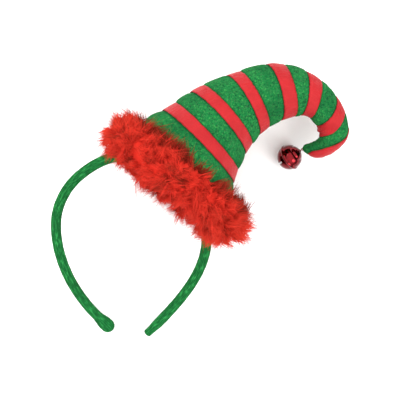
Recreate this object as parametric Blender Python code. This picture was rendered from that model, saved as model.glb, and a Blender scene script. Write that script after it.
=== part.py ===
"""Elf hat headband: a padded band in green felt with a stuffed, curled elf hat sewn to its crown.

Metres, +Z up. The headband lies as it is put down: the underside of the feather boa, the two ends
of the band and the bell rest on z = 0. The band opens towards -Y, and the hat curls towards +X.
The origin is the bottom centre of the whole.
"""
import math
from collections import namedtuple

import bmesh
import bpy
import numpy as np
from mathutils import Vector

# Running gap between pieces that touch
GAP = 0.0003

# Headband, a round padded tube bent to a horseshoe
BAND_DIAMETER = 0.0077
BAND_WIDTH = 0.1212
BAND_REACH = 0.1481
BAND_MOUTH = 0.0334
BAND_HEADING = math.radians(80.6)
LEFT_END_WIDTH = 0.0118
LEFT_END_LENGTH = 0.0130
RIGHT_END_WIDTH = 0.0053
RIGHT_END_LENGTH = 0.0150
BAND_STEPS = 42
BAND_SIDES = 12
# Rounded ends of the band: shares of its width on the last rings
BAND_CAP_SHARES = (0.92, 0.62)

# Route of the band: the mouth and the width count across, the reach counts along
RouteRow = namedtuple("RouteRow", "mouth width reach")
BAND_ROUTE = (
    RouteRow(-0.50, 0.000, 0.000),
    RouteRow(-0.30, -0.206, 0.103),
    RouteRow(-0.10, -0.447, 0.294),
    RouteRow(0.00, -0.571, 0.552),
    RouteRow(0.00, -0.536, 0.710),
    RouteRow(0.00, -0.469, 0.833),
    RouteRow(0.00, -0.2855, 0.972),
    RouteRow(0.00, -0.122, 1.000),
    RouteRow(0.00, 0.032, 0.986),
    RouteRow(0.00, 0.182, 0.929),
    RouteRow(0.00, 0.307, 0.833),
    RouteRow(0.00, 0.389, 0.712),
    RouteRow(0.00, 0.429, 0.505),
    RouteRow(0.10, 0.3125, 0.276),
    RouteRow(0.40, 0.0877, 0.075),
    RouteRow(0.50, 0.000, 0.000),
)
# Row of the route that carries the hat
SEAT_ROW = 8.94

# Hat, a stuffed cone of felt whose tip curls back
HAT_HEADING = math.radians(50.0)
HAT_DIP = math.radians(4.0)
HAT_LENGTH = 0.190
HAT_RIM_RADIUS = 0.0465
PUFF = 0.0009
TIP_CAP = 0.0008
HAT_SIDES = 32
PUFF_ROWS = (0.14, 0.5, 0.86)
TIP_ROWS = 7
# Felt wall of the hat: its hollow runs from the open wide end to a row of the sections
HAT_WALL = 0.0020
HOLLOW_END = 9.0
HOLLOW_ROWS = 12
HOLLOW_SIDES = 14
HOLLOW_PAST_RIM = 0.0010

# Sections of the hat: forward and side count in hat lengths, rise between tip and rim,
# radius in rim radii, turn in degrees from the hat's heading
Section = namedtuple("Section", "forward side rise radius turn")
HAT_SECTIONS = (
    Section(0.000, 0.000, 1.000, 1.000, 0.0),
    Section(0.067, -0.017, 0.979, 0.925, -2.0),
    Section(0.134, -0.016, 0.959, 0.813, -6.7),
    Section(0.260, -0.014, 0.899, 0.671, -9.1),
    Section(0.390, 0.027, 0.790, 0.544, -23.1),
    Section(0.514, 0.102, 0.653, 0.467, -37.4),
    Section(0.575, 0.205, 0.523, 0.346, -59.5),
    Section(0.560, 0.324, 0.368, 0.299, -89.4),
    Section(0.520, 0.378, 0.264, 0.234, -147.3),
    Section(0.478, 0.386, 0.187, 0.185, -165.3),
    Section(0.447, 0.378, 0.122, 0.157, -184.3),
    Section(0.417, 0.358, 0.065, 0.131, -200.2),
    Section(0.400, 0.338, 0.023, 0.090, -204.7),
    Section(0.393, 0.327, 0.000, 0.040, -212.0),
)

# Ribbons, woven bands sewn round the hat
RIBBON_WIDTH = 0.0105
RIBBON_THICKNESS = 0.0005
# Where each ribbon crosses the outer and the inner side of the curl, in rows of the sections,
# and how far its width spreads there
RibbonRow = namedtuple("RibbonRow", "outer inner outer_spread inner_spread")
RIBBONS = (
    RibbonRow(2.02, 2.03, 0.88, 1.02),
    RibbonRow(3.00, 3.04, 0.85, 1.02),
    RibbonRow(3.93, 3.96, 0.80, 1.15),
    RibbonRow(4.93, 4.98, 1.00, 1.50),
    RibbonRow(5.95, 5.91, 1.00, 1.20),
    RibbonRow(6.98, 7.42, 0.82, 2.90),
)
# Last ribbon, laid lengthwise over the outer side of the tip: its edges as degrees round the hat
TipRibbonRow = namedtuple("TipRibbonRow", "row upper lower")
TIP_RIBBON = (
    TipRibbonRow(7.75, 8.0, -12.0),
    TipRibbonRow(8.30, 48.0, -36.0),
    TipRibbonRow(9.00, 78.0, -44.0),
    TipRibbonRow(10.00, 86.0, -48.0),
    TipRibbonRow(11.00, 84.0, -50.0),
    TipRibbonRow(11.80, 62.0, -44.0),
)
TIP_RIBBON_STEPS = 13
TIP_RIBBON_SIDES = 8

# Felt disc that closes the hat, and the felt patch that holds the band to it
DISC_THICKNESS = 0.0020
PATCH_LENGTH = 0.0220
PATCH_WIDTH = 0.0300
PATCH_THICKNESS = 0.0015
PATCH_ARC_STEPS = 10

# Feather boa round the rim
BOA_RING_RADIUS = 0.0480
BOA_RADIUS = 0.0200
BOA_BACKING_RADIUS = 0.0145
BOA_SQUASH = 0.0120
BOA_BELOW_RIM = 0.0105
BOA_SEED = 7
LOCKS_ROUND_RING = 28
LOCKS_ROUND_BOA = 10
# Locks: reach and its spread in boa radii, how much the ring's inner side is shorter, the width
# left half way out, and the lean round the ring and round the boa in radians. The least rise is
# what any lock keeps over the backing
LOCK_REACH = 0.97
LOCK_LEAST_RISE = 0.0004
LOCK_REACH_SPREAD = 0.16
LOCK_INNER_SHORTER = 0.22
LOCK_WAIST = 0.68
LOCK_LEAN = 0.05
LOCK_LEAN_SPREAD = 0.10
LOCK_CURL_SPREAD = 0.50
# Tufts that stand out of the boa: place round the ring and round the boa in degrees, extra reach
Tuft = namedtuple("Tuft", "ring boa spread reach")
TUFTS = (
    Tuft(180.0, 38.0, 24.0, 0.36),
    Tuft(180.0, 150.0, 20.0, 0.12),
    Tuft(0.0, -20.0, 24.0, 0.12),
)

# Jingle bell, a hollow ball of two pressed halves with crossed slots
BELL_DIAMETER = 0.0200
BELL_WALL = 0.0006
BELL_BEAD = 0.0007
BELL_BEAD_WIDTH = 0.0018
BELL_SLOT_WIDTH = 0.0015
BELL_SLOT_HOLE = 0.0028
BELL_SLOT_REACH = math.radians(52.0)
# Depths of the cutters for the slots and for their end holes, in bell radii from its centre
SLOT_DEPTHS = (-1.2, -0.5)
HOLE_DEPTHS = (-1.2, -0.4)
HOLE_SIDES = 8
BELL_HEADING = math.radians(32.0)
BELL_TILT = math.radians(28.0)
BELL_SIDES = 18
BELL_ARC_STEPS = 6
BELL_BALL_DIAMETER = 0.0064
LOOP_DIAMETER = 0.0026
LOOP_WIRE = 0.0006
# How deep the loop is sunk in the bell
LOOP_SINK = 0.0008
THREAD_RING = 0.0026
THREAD_DIAMETER = 0.0006
RING_SIDES = 12
WIRE_SIDES = 6

# Materials: colour, roughness, metallic
Finish = namedtuple("Finish", "colour roughness metallic")
BAND_FELT = Finish((0.025, 0.215, 0.056), 0.92, 0.0)
HAT_FELT = Finish((0.022, 0.235, 0.060), 0.92, 0.0)
SATIN = Finish((0.760, 0.045, 0.050), 0.38, 0.0)
FEATHER = Finish((0.600, 0.022, 0.018), 0.85, 0.0)
RED_METAL = Finish((0.330, 0.010, 0.018), 0.16, 1.0)
STEEL = Finish((0.420, 0.420, 0.430), 0.30, 1.0)
THREAD = Finish((0.240, 0.020, 0.025), 0.80, 0.0)


def clear_scene():
    """Remove every object of the open file."""
    for obj in list(bpy.data.objects):
        bpy.data.objects.remove(obj, do_unlink=True)


def make_material(name, finish):
    """Return a Principled material in the given finish."""
    material = bpy.data.materials.new(name)
    material.use_nodes = True
    shader = material.node_tree.nodes["Principled BSDF"]
    shader.inputs["Base Color"].default_value = (*finish.colour, 1.0)
    shader.inputs["Roughness"].default_value = finish.roughness
    shader.inputs["Metallic"].default_value = finish.metallic
    return material


def unit(vector):
    """Return the vector at length one."""
    return vector / np.linalg.norm(vector)


def smooth_table(knots, values, at):
    """Interpolate the rows of values at the places in at, on cubic pieces through the knots."""
    knots = np.asarray(knots, float)
    values = np.asarray(values, float)
    at = np.clip(np.asarray(at, float), knots[0], knots[-1])
    slopes = np.gradient(values, knots, axis=0)
    cell = np.clip(np.searchsorted(knots, at, side="right") - 1, 0, len(knots) - 2)
    span = knots[cell + 1] - knots[cell]
    s = (at - knots[cell]) / span
    shape = s.shape + (1,) * (values.ndim - 1)
    s, span = s.reshape(shape), span.reshape(shape)
    return (
        (2 * s**3 - 3 * s**2 + 1) * values[cell]
        + (s**3 - 2 * s**2 + s) * span * slopes[cell]
        + (3 * s**2 - 2 * s**3) * values[cell + 1]
        + (s**3 - s**2) * span * slopes[cell + 1]
    )


def add_object(name, vertices, faces, material):
    """Link a mesh object with outward faces and return it."""
    mesh = bpy.data.meshes.new(name)
    mesh.from_pydata([tuple(v) for v in vertices], [], [tuple(f) for f in faces])
    bm = bmesh.new()
    bm.from_mesh(mesh)
    bmesh.ops.recalc_face_normals(bm, faces=bm.faces)
    bm.to_mesh(mesh)
    bm.free()
    mesh.validate()
    if material:
        mesh.materials.append(material)
    mesh.shade_smooth()
    mesh.set_sharp_from_angle(angle=math.radians(40))
    obj = bpy.data.objects.new(name, mesh)
    bpy.context.scene.collection.objects.link(obj)
    return obj


def tube_mesh(rings, closed_path=False, poles=None):
    """Skin a list of vertex rings. Open paths end on a pole vertex each, or on a flat cap."""
    count, sides = len(rings), len(rings[0])
    vertices = [v for ring in rings for v in ring]
    faces = []
    for i in range(count if closed_path else count - 1):
        low, high = i * sides, ((i + 1) % count) * sides
        for j in range(sides):
            k = (j + 1) % sides
            faces.append((low + j, low + k, high + k, high + j))
    if closed_path:
        return vertices, faces
    last = (count - 1) * sides
    if poles is None:
        faces.append(tuple(range(sides)))
        faces.append(tuple(last + j for j in reversed(range(sides))))
        return vertices, faces
    for pole, start in zip(poles, (0, last)):
        if pole is None:
            faces.append(tuple(start + j for j in range(sides)))
            continue
        vertices.append(pole)
        for j in range(sides):
            faces.append((start + j, start + (j + 1) % sides, len(vertices) - 1))
    return vertices, faces


def as_cutter(obj):
    """Mark an object as a cutter, which is no piece of the headband."""
    obj.hide_render = True
    obj.display_type = "WIRE"
    return obj


def cut(obj, cutters, keep_self=False):
    """Subtract the cutters from the object one by one, and keep its largest body."""
    for cutter in cutters:
        modifier = obj.modifiers.new("cut by " + cutter.name, "BOOLEAN")
        modifier.operation = "DIFFERENCE"
        modifier.object = cutter
        modifier.use_self = keep_self
    graph = bpy.context.evaluated_depsgraph_get()
    graph.update()
    mesh = bpy.data.meshes.new_from_object(obj.evaluated_get(graph))
    obj.modifiers.clear()
    keep_largest_body(mesh)
    obj.data = mesh
    mesh.name = obj.name
    return obj


def keep_largest_body(mesh):
    """Drop the crumbs that a cut leaves beside the main body of a mesh."""
    bm = bmesh.new()
    bm.from_mesh(mesh)
    left = set(bm.verts)
    bodies = []
    while left:
        front = [left.pop()]
        body = set(front)
        while front:
            vertex = front.pop()
            for edge in vertex.link_edges:
                other = edge.other_vert(vertex)
                if other not in body:
                    body.add(other)
                    front.append(other)
        left -= body
        bodies.append(body)
    main = max(bodies, key=len)
    crumbs = [v for body in bodies if body is not main for v in body]
    bmesh.ops.delete(bm, geom=crumbs, context="VERTS")
    bm.to_mesh(mesh)
    bm.free()


class Layout:
    """The places that the pieces share: band route, hat frame, boa ring and bell."""

    def __init__(self):
        self.hat_axis = self.level_turn(HAT_HEADING, -HAT_DIP)
        self.hat_side = unit(np.cross(self.hat_axis, (0.0, 0.0, 1.0)))
        self.hat_top = np.cross(self.hat_side, self.hat_axis)
        boa_height = BOA_RING_RADIUS * math.cos(HAT_DIP) + BOA_RADIUS - BOA_SQUASH
        self.boa_centre = np.array((0.0, 0.0, boa_height))
        self.rim_centre = self.boa_centre + BOA_BELOW_RIM * self.hat_axis
        under_disc = DISC_THICKNESS + 2 * GAP
        self.disc_under = self.rim_centre - (DISC_THICKNESS + GAP) * self.hat_axis
        self.route = self.band_route(under_disc)
        self.bell_radius = BELL_DIAMETER / 2 + BELL_BEAD
        self.bell_axis = self.level_turn(BELL_HEADING, BELL_TILT)
        self.loop_reach = BELL_DIAMETER / 2 - LOOP_SINK + LOOP_DIAMETER / 2
        threaded = LOOP_DIAMETER / 2 - LOOP_WIRE - GAP
        self.thread_reach = self.loop_reach + threaded - THREAD_DIAMETER + THREAD_RING / 2
        self.hang = self.thread_reach + THREAD_RING / 2 + GAP
        self.tip_height = self.bell_radius + self.hang * math.sin(BELL_TILT)

    @staticmethod
    def level_turn(heading, rise):
        """Return the unit direction at a heading from +X and a rise over the ground."""
        level = math.cos(rise)
        return np.array((level * math.cos(heading), level * math.sin(heading), math.sin(rise)))

    def band_route(self, under_disc):
        """Return a function that gives points of the band's centre line at rows of its route.

        The band lies in one sloping plane. Its ends lie on the ground, and at the seat it touches
        the underside of the hat's disc, which settles the slope step by step.
        """
        sideways = [row.mouth * BAND_MOUTH + row.width * BAND_WIDTH for row in BAND_ROUTE]
        flat = np.column_stack((sideways, [row.reach * BAND_REACH for row in BAND_ROUTE]))
        rows = np.arange(len(flat))
        radius = BAND_DIAMETER / 2
        across = np.array((math.sin(BAND_HEADING), -math.cos(BAND_HEADING), 0.0))
        along = np.array((math.cos(BAND_HEADING), math.sin(BAND_HEADING), 0.0))
        seat_flat = smooth_table(rows, flat, [SEAT_ROW])[0]
        samples = smooth_table(rows, flat, np.linspace(SEAT_ROW - 2, SEAT_ROW + 2, 41))
        ends = (unit(flat[1] - flat[0]), unit(flat[-2] - flat[-1]))
        half_widths = (LEFT_END_WIDTH / 2, RIGHT_END_WIDTH / 2)
        drop, end_height, slope = radius + under_disc, radius, 0.0
        for _ in range(12):
            seat = self.rim_centre - drop * self.hat_axis
            slope = math.asin((seat[2] - end_height) / seat_flat[1])
            up = math.cos(slope) * along + np.array((0.0, 0.0, math.sin(slope)))
            near = (samples - seat_flat) @ np.array((across, up))
            drop = radius + under_disc + max(near @ self.hat_axis)
            tilts = [half * abs(end[0]) * math.sin(slope) for half, end in zip(half_widths, ends)]
            end_height = math.hypot(radius * math.cos(slope), max(tilts))
        self.band_up, self.band_across = up, across
        self.band_normal = np.cross(across, up)
        self.band_ends_middle = seat - seat_flat @ np.array((across, up))

        def route(at):
            """Return the centre line at the rows in at."""
            return self.band_ends_middle + smooth_table(rows, flat, at) @ np.array((across, up))

        return route


class Hat:
    """The stuffed cone as a surface: a place along it and an angle round it give a point."""

    def __init__(self, layout):
        forward = Layout.level_turn(HAT_HEADING, 0.0)
        side = Layout.level_turn(HAT_HEADING - math.pi / 2, 0.0)
        rim, tip_height = layout.rim_centre, layout.tip_height
        centres = []
        for row in HAT_SECTIONS:
            level = rim + HAT_LENGTH * (row.forward * forward + row.side * side)
            level[2] = tip_height + row.rise * (rim[2] - tip_height)
            centres.append(level)
        centres = np.array(centres)
        steps = np.linalg.norm(np.diff(centres, axis=0), axis=1)
        self.knots = np.concatenate(([0.0], np.cumsum(steps)))
        self.length = self.knots[-1]
        self.centres = centres
        self.tip = centres[-1] + TIP_CAP * unit(centres[-1] - centres[-2])
        self.radii = np.array([row.radius * HAT_RIM_RADIUS for row in HAT_SECTIONS])
        self.turns = HAT_HEADING + np.radians([row.turn for row in HAT_SECTIONS])
        slopes = np.gradient(centres[:, 2], self.knots)
        self.dips = -np.arcsin(np.clip(slopes, -1.0, 1.0))
        self.dips[0] = HAT_DIP

    def place(self, row):
        """Return the distance along the hat at a row of the sections, or between two."""
        return np.interp(row, np.arange(len(self.knots)), self.knots)

    def point(self, at, angle, lift=0.0):
        """Return surface points: angle 0 is the curl's outer side, 90 degrees its top."""
        centre = smooth_table(self.knots, self.centres, at)
        radius = smooth_table(self.knots, self.radii, at) + lift
        turn = smooth_table(self.knots, self.turns, at)
        dip = smooth_table(self.knots, self.dips, at)
        outer = np.stack((-np.sin(turn), np.cos(turn), np.zeros_like(turn)), axis=-1)
        top = np.stack((np.sin(dip) * np.cos(turn), np.sin(dip) * np.sin(turn), np.cos(dip)), axis=-1)
        round_it = np.cos(angle)[:, None] * outer + np.sin(angle)[:, None] * top
        return centre + radius[:, None] * round_it

    def ring(self, at, lift=0.0):
        """Return one ring of points round the hat, at a distance along it for each side."""
        angles = np.arange(HAT_SIDES) * 2 * math.pi / HAT_SIDES
        return self.point(np.broadcast_to(at, angles.shape), angles, np.broadcast_to(lift, angles.shape))

    def ribbon_edges(self, ribbon):
        """Return where a ribbon starts and ends along the hat, for each side of its ring."""
        angles = np.arange(HAT_SIDES) * 2 * math.pi / HAT_SIDES
        inner = (1 - np.cos(angles)) / 2
        middle = (1 - inner) * self.place(ribbon.outer) + inner * self.place(ribbon.inner)
        spread = (1 - inner) * ribbon.outer_spread + inner * ribbon.inner_spread
        half = spread * RIBBON_WIDTH / 2
        return middle - half, middle + half


def build_band(layout, material):
    """Build the padded tube. Its left end is pressed flat and wide, its right end narrow."""
    return add_object("headband", *band_skin(layout, 0.0), material)


def band_skin(layout, lift):
    """Return the band's skin, lifted off it for a cutter, with a rounded cap at each end."""
    rows = np.linspace(0, len(BAND_ROUTE) - 1, BAND_STEPS + 1)
    points = layout.route(rows)
    tangents = np.gradient(points, axis=0)
    travelled = np.concatenate(([0.0], np.cumsum(np.linalg.norm(np.diff(points, axis=0), axis=1))))
    left = 1 - smooth_step(travelled / LEFT_END_LENGTH)
    right = 1 - smooth_step((travelled[-1] - travelled) / RIGHT_END_LENGTH)
    half = BAND_DIAMETER / 2
    wide = half + left * (LEFT_END_WIDTH / 2 - half) + right * (RIGHT_END_WIDTH / 2 - half)
    rings = []
    stations = [(0, share) for share in reversed(BAND_CAP_SHARES)]
    stations += [(i, 1.0) for i in range(BAND_STEPS + 1)]
    stations += [(BAND_STEPS, share) for share in BAND_CAP_SHARES]
    for number, (i, share) in enumerate(stations):
        tangent = unit(tangents[i])
        sideways = unit(np.cross(tangent, layout.band_normal))
        before = -1 if number < len(BAND_CAP_SHARES) else 1
        outward = math.sqrt(1 - share**2) * (half + lift) * before
        centre = points[i] + outward * tangent
        ring = []
        for j in range(BAND_SIDES):
            angle = 2 * math.pi * j / BAND_SIDES
            across = (wide[i] + lift) * share * math.cos(angle) * sideways
            above = (half + lift) * share * math.sin(angle) * layout.band_normal
            ring.append(centre + across + above)
        rings.append(ring)
    poles = (
        points[0] - (half + lift) * unit(tangents[0]),
        points[-1] + (half + lift) * unit(tangents[-1]),
    )
    return tube_mesh(rings, poles=poles)


def smooth_step(share):
    """Ease from 0 to 1 as the share runs from 0 to 1."""
    share = np.clip(share, 0.0, 1.0)
    return share * share * (3 - 2 * share)


def build_hat(hat, material):
    """Build the felt cone: pinched under each ribbon, puffed between them, hollow from its wide end."""
    cone = add_object("hat_cone", *hat_skin(hat, 0.0), material)
    hollow = as_cutter(add_object("hat_hollow", *hollow_skin(hat), None))
    return cut(cone, [hollow])


def hollow_skin(hat):
    """Return the skin of the hollow in the cone: it follows the cone a felt wall further in."""
    angles = np.arange(HOLLOW_SIDES) * 2 * math.pi / HOLLOW_SIDES
    rings = []
    for at in np.linspace(0.0, hat.place(HOLLOW_END), HOLLOW_ROWS):
        rings.append(hat.point(np.full(HOLLOW_SIDES, at), angles, np.full(HOLLOW_SIDES, -HAT_WALL)))
    past_rim = unit(hat.centres[0] - hat.centres[1]) * HOLLOW_PAST_RIM
    end = smooth_table(hat.knots, hat.centres, [hat.place(HOLLOW_END) + HAT_WALL])[0]
    return tube_mesh([rings[0] + past_rim] + rings, poles=(None, end))


def hat_skin(hat, lift):
    """Return the skin of the cone, lifted off it for a cutter."""
    pinch = -(RIBBON_THICKNESS + GAP)
    rings = [hat.ring(0.0, lift)]
    start = np.zeros(HAT_SIDES)
    for ribbon in RIBBONS:
        low, high = hat.ribbon_edges(ribbon)
        for share in PUFF_ROWS:
            rings.append(hat.ring(start + share * (low - start), PUFF * math.sin(math.pi * share) + lift))
        rings.append(hat.ring(low, pinch + lift))
        rings.append(hat.ring(high, pinch + lift))
        start = high
    for step in range(1, TIP_ROWS + 1):
        share = step / TIP_ROWS
        puff = PUFF * math.sin(math.pi * min(share / 2 + 0.2, 1.0)) * (1 - share)
        rings.append(hat.ring(start + share * (hat.length - start), puff + lift))
    return tube_mesh(rings, poles=(None, hat.tip))


def build_ribbons(hat, material):
    """Build the woven bands round the cone, each a closed strip on the cone's own facets."""
    inside = -RIBBON_THICKNESS
    ribbons = []
    for number, ribbon in enumerate(RIBBONS, start=1):
        low, high = hat.ribbon_edges(ribbon)
        profile = (hat.ring(low, inside), hat.ring(high, inside), hat.ring(high), hat.ring(low))
        vertices, faces = tube_mesh(profile, closed_path=True)
        ribbons.append(add_object(f"ribbon_{number}", vertices, faces, material))
    return ribbons


def build_tip_ribbon(hat, material):
    """Build the last ribbon, a strip laid along the outer side of the curled tip."""
    rows = [r.row for r in TIP_RIBBON]
    edges = np.radians([(r.upper, r.lower) for r in TIP_RIBBON])
    at_rows = np.linspace(rows[0], rows[-1], TIP_RIBBON_STEPS + 1)
    upper, lower = smooth_table(rows, edges, at_rows).T
    at = hat.place(at_rows)
    layers = []
    for lift in (PUFF + GAP, PUFF + GAP + RIBBON_THICKNESS):
        strip = []
        for step in range(TIP_RIBBON_SIDES + 1):
            share = step / TIP_RIBBON_SIDES
            strip.append(hat.point(at, lower + share * (upper - lower), np.full(at.shape, lift)))
        layers.append(np.swapaxes(np.array(strip), 0, 1))
    rings = [np.concatenate((below, above[::-1])) for below, above in zip(*layers)]
    return add_object("tip_ribbon", *tube_mesh(rings), material)


def build_disc(layout, hat, material):
    """Build the felt disc that closes the wide end of the cone."""
    down = -layout.hat_axis
    rim = hat.ring(0.0)
    upper = rim + GAP * down
    lower = rim + (GAP + DISC_THICKNESS) * down
    return add_object("base_disc", *tube_mesh([lower, upper]), material)


def build_patch(layout, material):
    """Build the felt patch under the disc, bowed over the band that it holds."""
    seat_step = layout.route([SEAT_ROW + 0.05])[0] - layout.route([SEAT_ROW - 0.05])[0]
    axis = layout.hat_axis
    along = unit(seat_step - (seat_step @ axis) * axis)
    across = np.cross(axis, along)
    seat = layout.route([SEAT_ROW])[0]
    top = (layout.disc_under - seat) @ axis - GAP
    bow = BAND_DIAMETER / 2 + GAP + PATCH_THICKNESS
    foot = top - PATCH_THICKNESS
    start = math.asin(foot / bow)
    profile = [(PATCH_WIDTH / 2, top), (PATCH_WIDTH / 2, foot)]
    for step in range(PATCH_ARC_STEPS + 1):
        angle = start - step / PATCH_ARC_STEPS * (math.pi + 2 * start)
        profile.append((bow * math.cos(angle), bow * math.sin(angle)))
    profile += [(-PATCH_WIDTH / 2, foot), (-PATCH_WIDTH / 2, top)]
    rings = []
    for end in (-PATCH_LENGTH / 2, PATCH_LENGTH / 2):
        rings.append([seat + end * along + x * across + y * axis for x, y in profile])
    patch = add_object("seat_patch", *tube_mesh(rings), material)
    cutter = as_cutter(add_object("band_channel", *band_skin(layout, GAP), None))
    return cut(patch, [cutter])


def build_boa(layout, hat, material):
    """Build the feather boa: locks drawn out of a round backing, cut where other pieces lie."""
    bm = bmesh.new()
    ring_steps, boa_steps = LOCKS_ROUND_RING, LOCKS_ROUND_BOA
    grid = []
    for i in range(ring_steps):
        ring_angle = 2 * math.pi * i / ring_steps
        row = []
        for j in range(boa_steps):
            boa_angle = 2 * math.pi * (j + 0.5 * (i % 2)) / boa_steps
            row.append(bm.verts.new(boa_point(layout, ring_angle, boa_angle, BOA_BACKING_RADIUS)))
        grid.append(row)
    random = np.random.default_rng(BOA_SEED)
    for i in range(ring_steps):
        row, next_row, shift = grid[i], grid[(i + 1) % ring_steps], i % 2
        for j in range(boa_steps):
            k = (j + 1) % boa_steps
            across, across_next = (j + shift) % boa_steps, (k + shift) % boa_steps
            draw_lock(bm, layout, (row[j], next_row[across], next_row[across_next], row[k]), random)
    mesh = bpy.data.meshes.new("fur_trim")
    bmesh.ops.recalc_face_normals(bm, faces=bm.faces)
    bm.to_mesh(mesh)
    bm.free()
    mesh.materials.append(material)
    boa = bpy.data.objects.new("fur_trim", mesh)
    bpy.context.scene.collection.objects.link(boa)
    reach = 4 * BOA_RING_RADIUS
    ground = add_box("ground", layout.boa_centre[:2], reach, -reach, 0.0)
    channel = as_cutter(add_object("boa_channel", *band_skin(layout, GAP), None))
    return cut(boa, [ground, channel, hat_cutter(layout, hat), patch_cutter(layout)], keep_self=True)


def boa_point(layout, ring_angle, boa_angle, radius):
    """Return a point of the boa. Ring angle 0 is the hat's side, boa angle 90 degrees its tip side."""
    outward = math.cos(ring_angle) * layout.hat_side + math.sin(ring_angle) * layout.hat_top
    reach = BOA_RING_RADIUS + radius * math.cos(boa_angle)
    return Vector(layout.boa_centre + reach * outward + radius * math.sin(boa_angle) * layout.hat_axis)


def draw_lock(bm, layout, quad, random):
    """Close one cell of the backing with a pointed lock that leans and tapers to its tip."""
    root = sum((v.co for v in quad), Vector()) / 4
    local = np.array(root) - layout.boa_centre
    ring_angle = math.atan2(local @ layout.hat_top, local @ layout.hat_side)
    outward = math.cos(ring_angle) * layout.hat_side + math.sin(ring_angle) * layout.hat_top
    core = layout.boa_centre + BOA_RING_RADIUS * outward
    spoke = np.array(root) - core
    boa_angle = math.atan2(spoke @ layout.hat_axis, spoke @ outward)
    share = (LOCK_REACH + LOCK_REACH_SPREAD * random.random()) * (1 + tuft_reach(ring_angle, boa_angle))
    reach = BOA_RADIUS * (share - LOCK_INNER_SHORTER * max(0.0, -math.cos(boa_angle)))
    reach = max(reach, BOA_BACKING_RADIUS + LOCK_LEAST_RISE)
    lean = LOCK_LEAN + LOCK_LEAN_SPREAD * (random.random() - 0.5)
    curl = LOCK_CURL_SPREAD * (random.random() - 0.5)
    tip = boa_point(layout, ring_angle + lean, boa_angle + curl, reach)
    half_way = (BOA_BACKING_RADIUS + reach) / 2
    middle = boa_point(layout, ring_angle + lean / 3, boa_angle + curl / 3, half_way)
    collar = [bm.verts.new(middle + LOCK_WAIST * (v.co - root)) for v in quad]
    point = bm.verts.new(tip)
    for j in range(4):
        k = (j + 1) % 4
        bm.faces.new((quad[j], quad[k], collar[k], collar[j]))
        bm.faces.new((collar[j], collar[k], point))


def tuft_reach(ring_angle, boa_angle):
    """Return how much further than the others a lock reaches at this place."""
    extra = 0.0
    for tuft in TUFTS:
        ring_off = math.remainder(ring_angle - math.radians(tuft.ring), 2 * math.pi)
        boa_off = math.remainder(boa_angle - math.radians(tuft.boa), 2 * math.pi)
        away = (2.5 * ring_off) ** 2 + boa_off**2
        extra += tuft.reach * math.exp(-away / math.radians(tuft.spread) ** 2)
    return extra


def add_box(name, centre, size, low, high):
    """Add an upright square box as a cutter."""
    half = size / 2
    ring = [(centre[0] + x * half, centre[1] + y * half) for x, y in ((-1, -1), (1, -1), (1, 1), (-1, 1))]
    rings = [[(x, y, z) for x, y in ring] for z in (low, high)]
    return as_cutter(add_object(name, *tube_mesh(rings), None))


def hat_cutter(layout, hat):
    """Return a cutter round the wide end of the hat and its disc, a gap away from both."""
    down = -layout.hat_axis
    base = hat.ring(0.0, PUFF + GAP)
    under = base + (DISC_THICKNESS + 2 * GAP) * down
    rings = [under, base]
    for share in np.linspace(0.25, 1.0, 4):
        rings.append(hat.ring(share * hat.place(RIBBONS[0].outer), PUFF + 2 * GAP))
    return as_cutter(add_object("hat_clearance", *tube_mesh(rings), None))


def patch_cutter(layout):
    """Return a cutter round the patch under the disc."""
    seat = layout.route([SEAT_ROW])[0]
    axis = layout.hat_axis
    along = layout.hat_side
    across = np.cross(axis, along)
    long_half = PATCH_LENGTH / 2 + 2 * PATCH_THICKNESS
    wide_half = PATCH_WIDTH / 2 + 2 * PATCH_THICKNESS
    deep = BAND_DIAMETER / 2 + PATCH_THICKNESS + 2 * GAP
    rings = []
    for rise in (-deep, deep):
        level = seat + rise * axis
        corners = ((-1, -1), (1, -1), (1, 1), (-1, 1))
        rings.append([level + x * long_half * along + y * wide_half * across for x, y in corners])
    return as_cutter(add_object("patch_clearance", *tube_mesh(rings), None))


def build_bell(layout, hat, metal, steel, thread):
    """Build the bell with its loop, the ball that it traps and the thread that it hangs by."""
    axis = layout.bell_axis
    centre = hat.tip - layout.hang * axis
    side = unit(np.cross(axis, (0.0, 0.0, 1.0)))
    other = np.cross(side, axis)
    bell = add_object("jingle_bell", *turned_shell(centre, axis, side, other), metal)
    loop_centre = centre + layout.loop_reach * axis
    loop = as_cutter(add_object("loop", *torus(loop_centre, axis, side, LOOP_DIAMETER, LOOP_WIRE), metal))
    join = bell.modifiers.new("loop", "BOOLEAN")
    join.operation = "UNION"
    join.object = loop
    hollow = as_cutter(add_object("hollow", *turned_hollow(centre, axis, side, other), None))
    cut(bell, [hollow] + slot_cutters(centre, axis, side, other))
    trapped = (BELL_DIAMETER - BELL_BALL_DIAMETER) / 2 - BELL_WALL - GAP
    build_ball(centre - np.array((0.0, 0.0, trapped)), steel)
    thread_centre = centre + layout.thread_reach * axis
    add_object("bell_thread", *torus(thread_centre, axis, other, THREAD_RING, THREAD_DIAMETER), thread)


def turned_shell(centre, axis, side, other):
    """Return a ball turned round its axis, with a bead round its middle."""
    radius = BELL_DIAMETER / 2
    edge = math.asin(BELL_BEAD_WIDTH / 2 / radius)
    profile = []
    for step in range(1, BELL_ARC_STEPS + 1):
        profile.append((radius, math.pi / 2 + (edge - math.pi / 2) * step / BELL_ARC_STEPS))
    profile.append((radius + BELL_BEAD, edge * 0.6))
    profile += [(reach, -angle) for reach, angle in reversed(profile)]
    rings = [bell_ring(centre, axis, side, other, reach, angle) for reach, angle in profile]
    return tube_mesh(rings, poles=(centre + radius * axis, centre - radius * axis))


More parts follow.
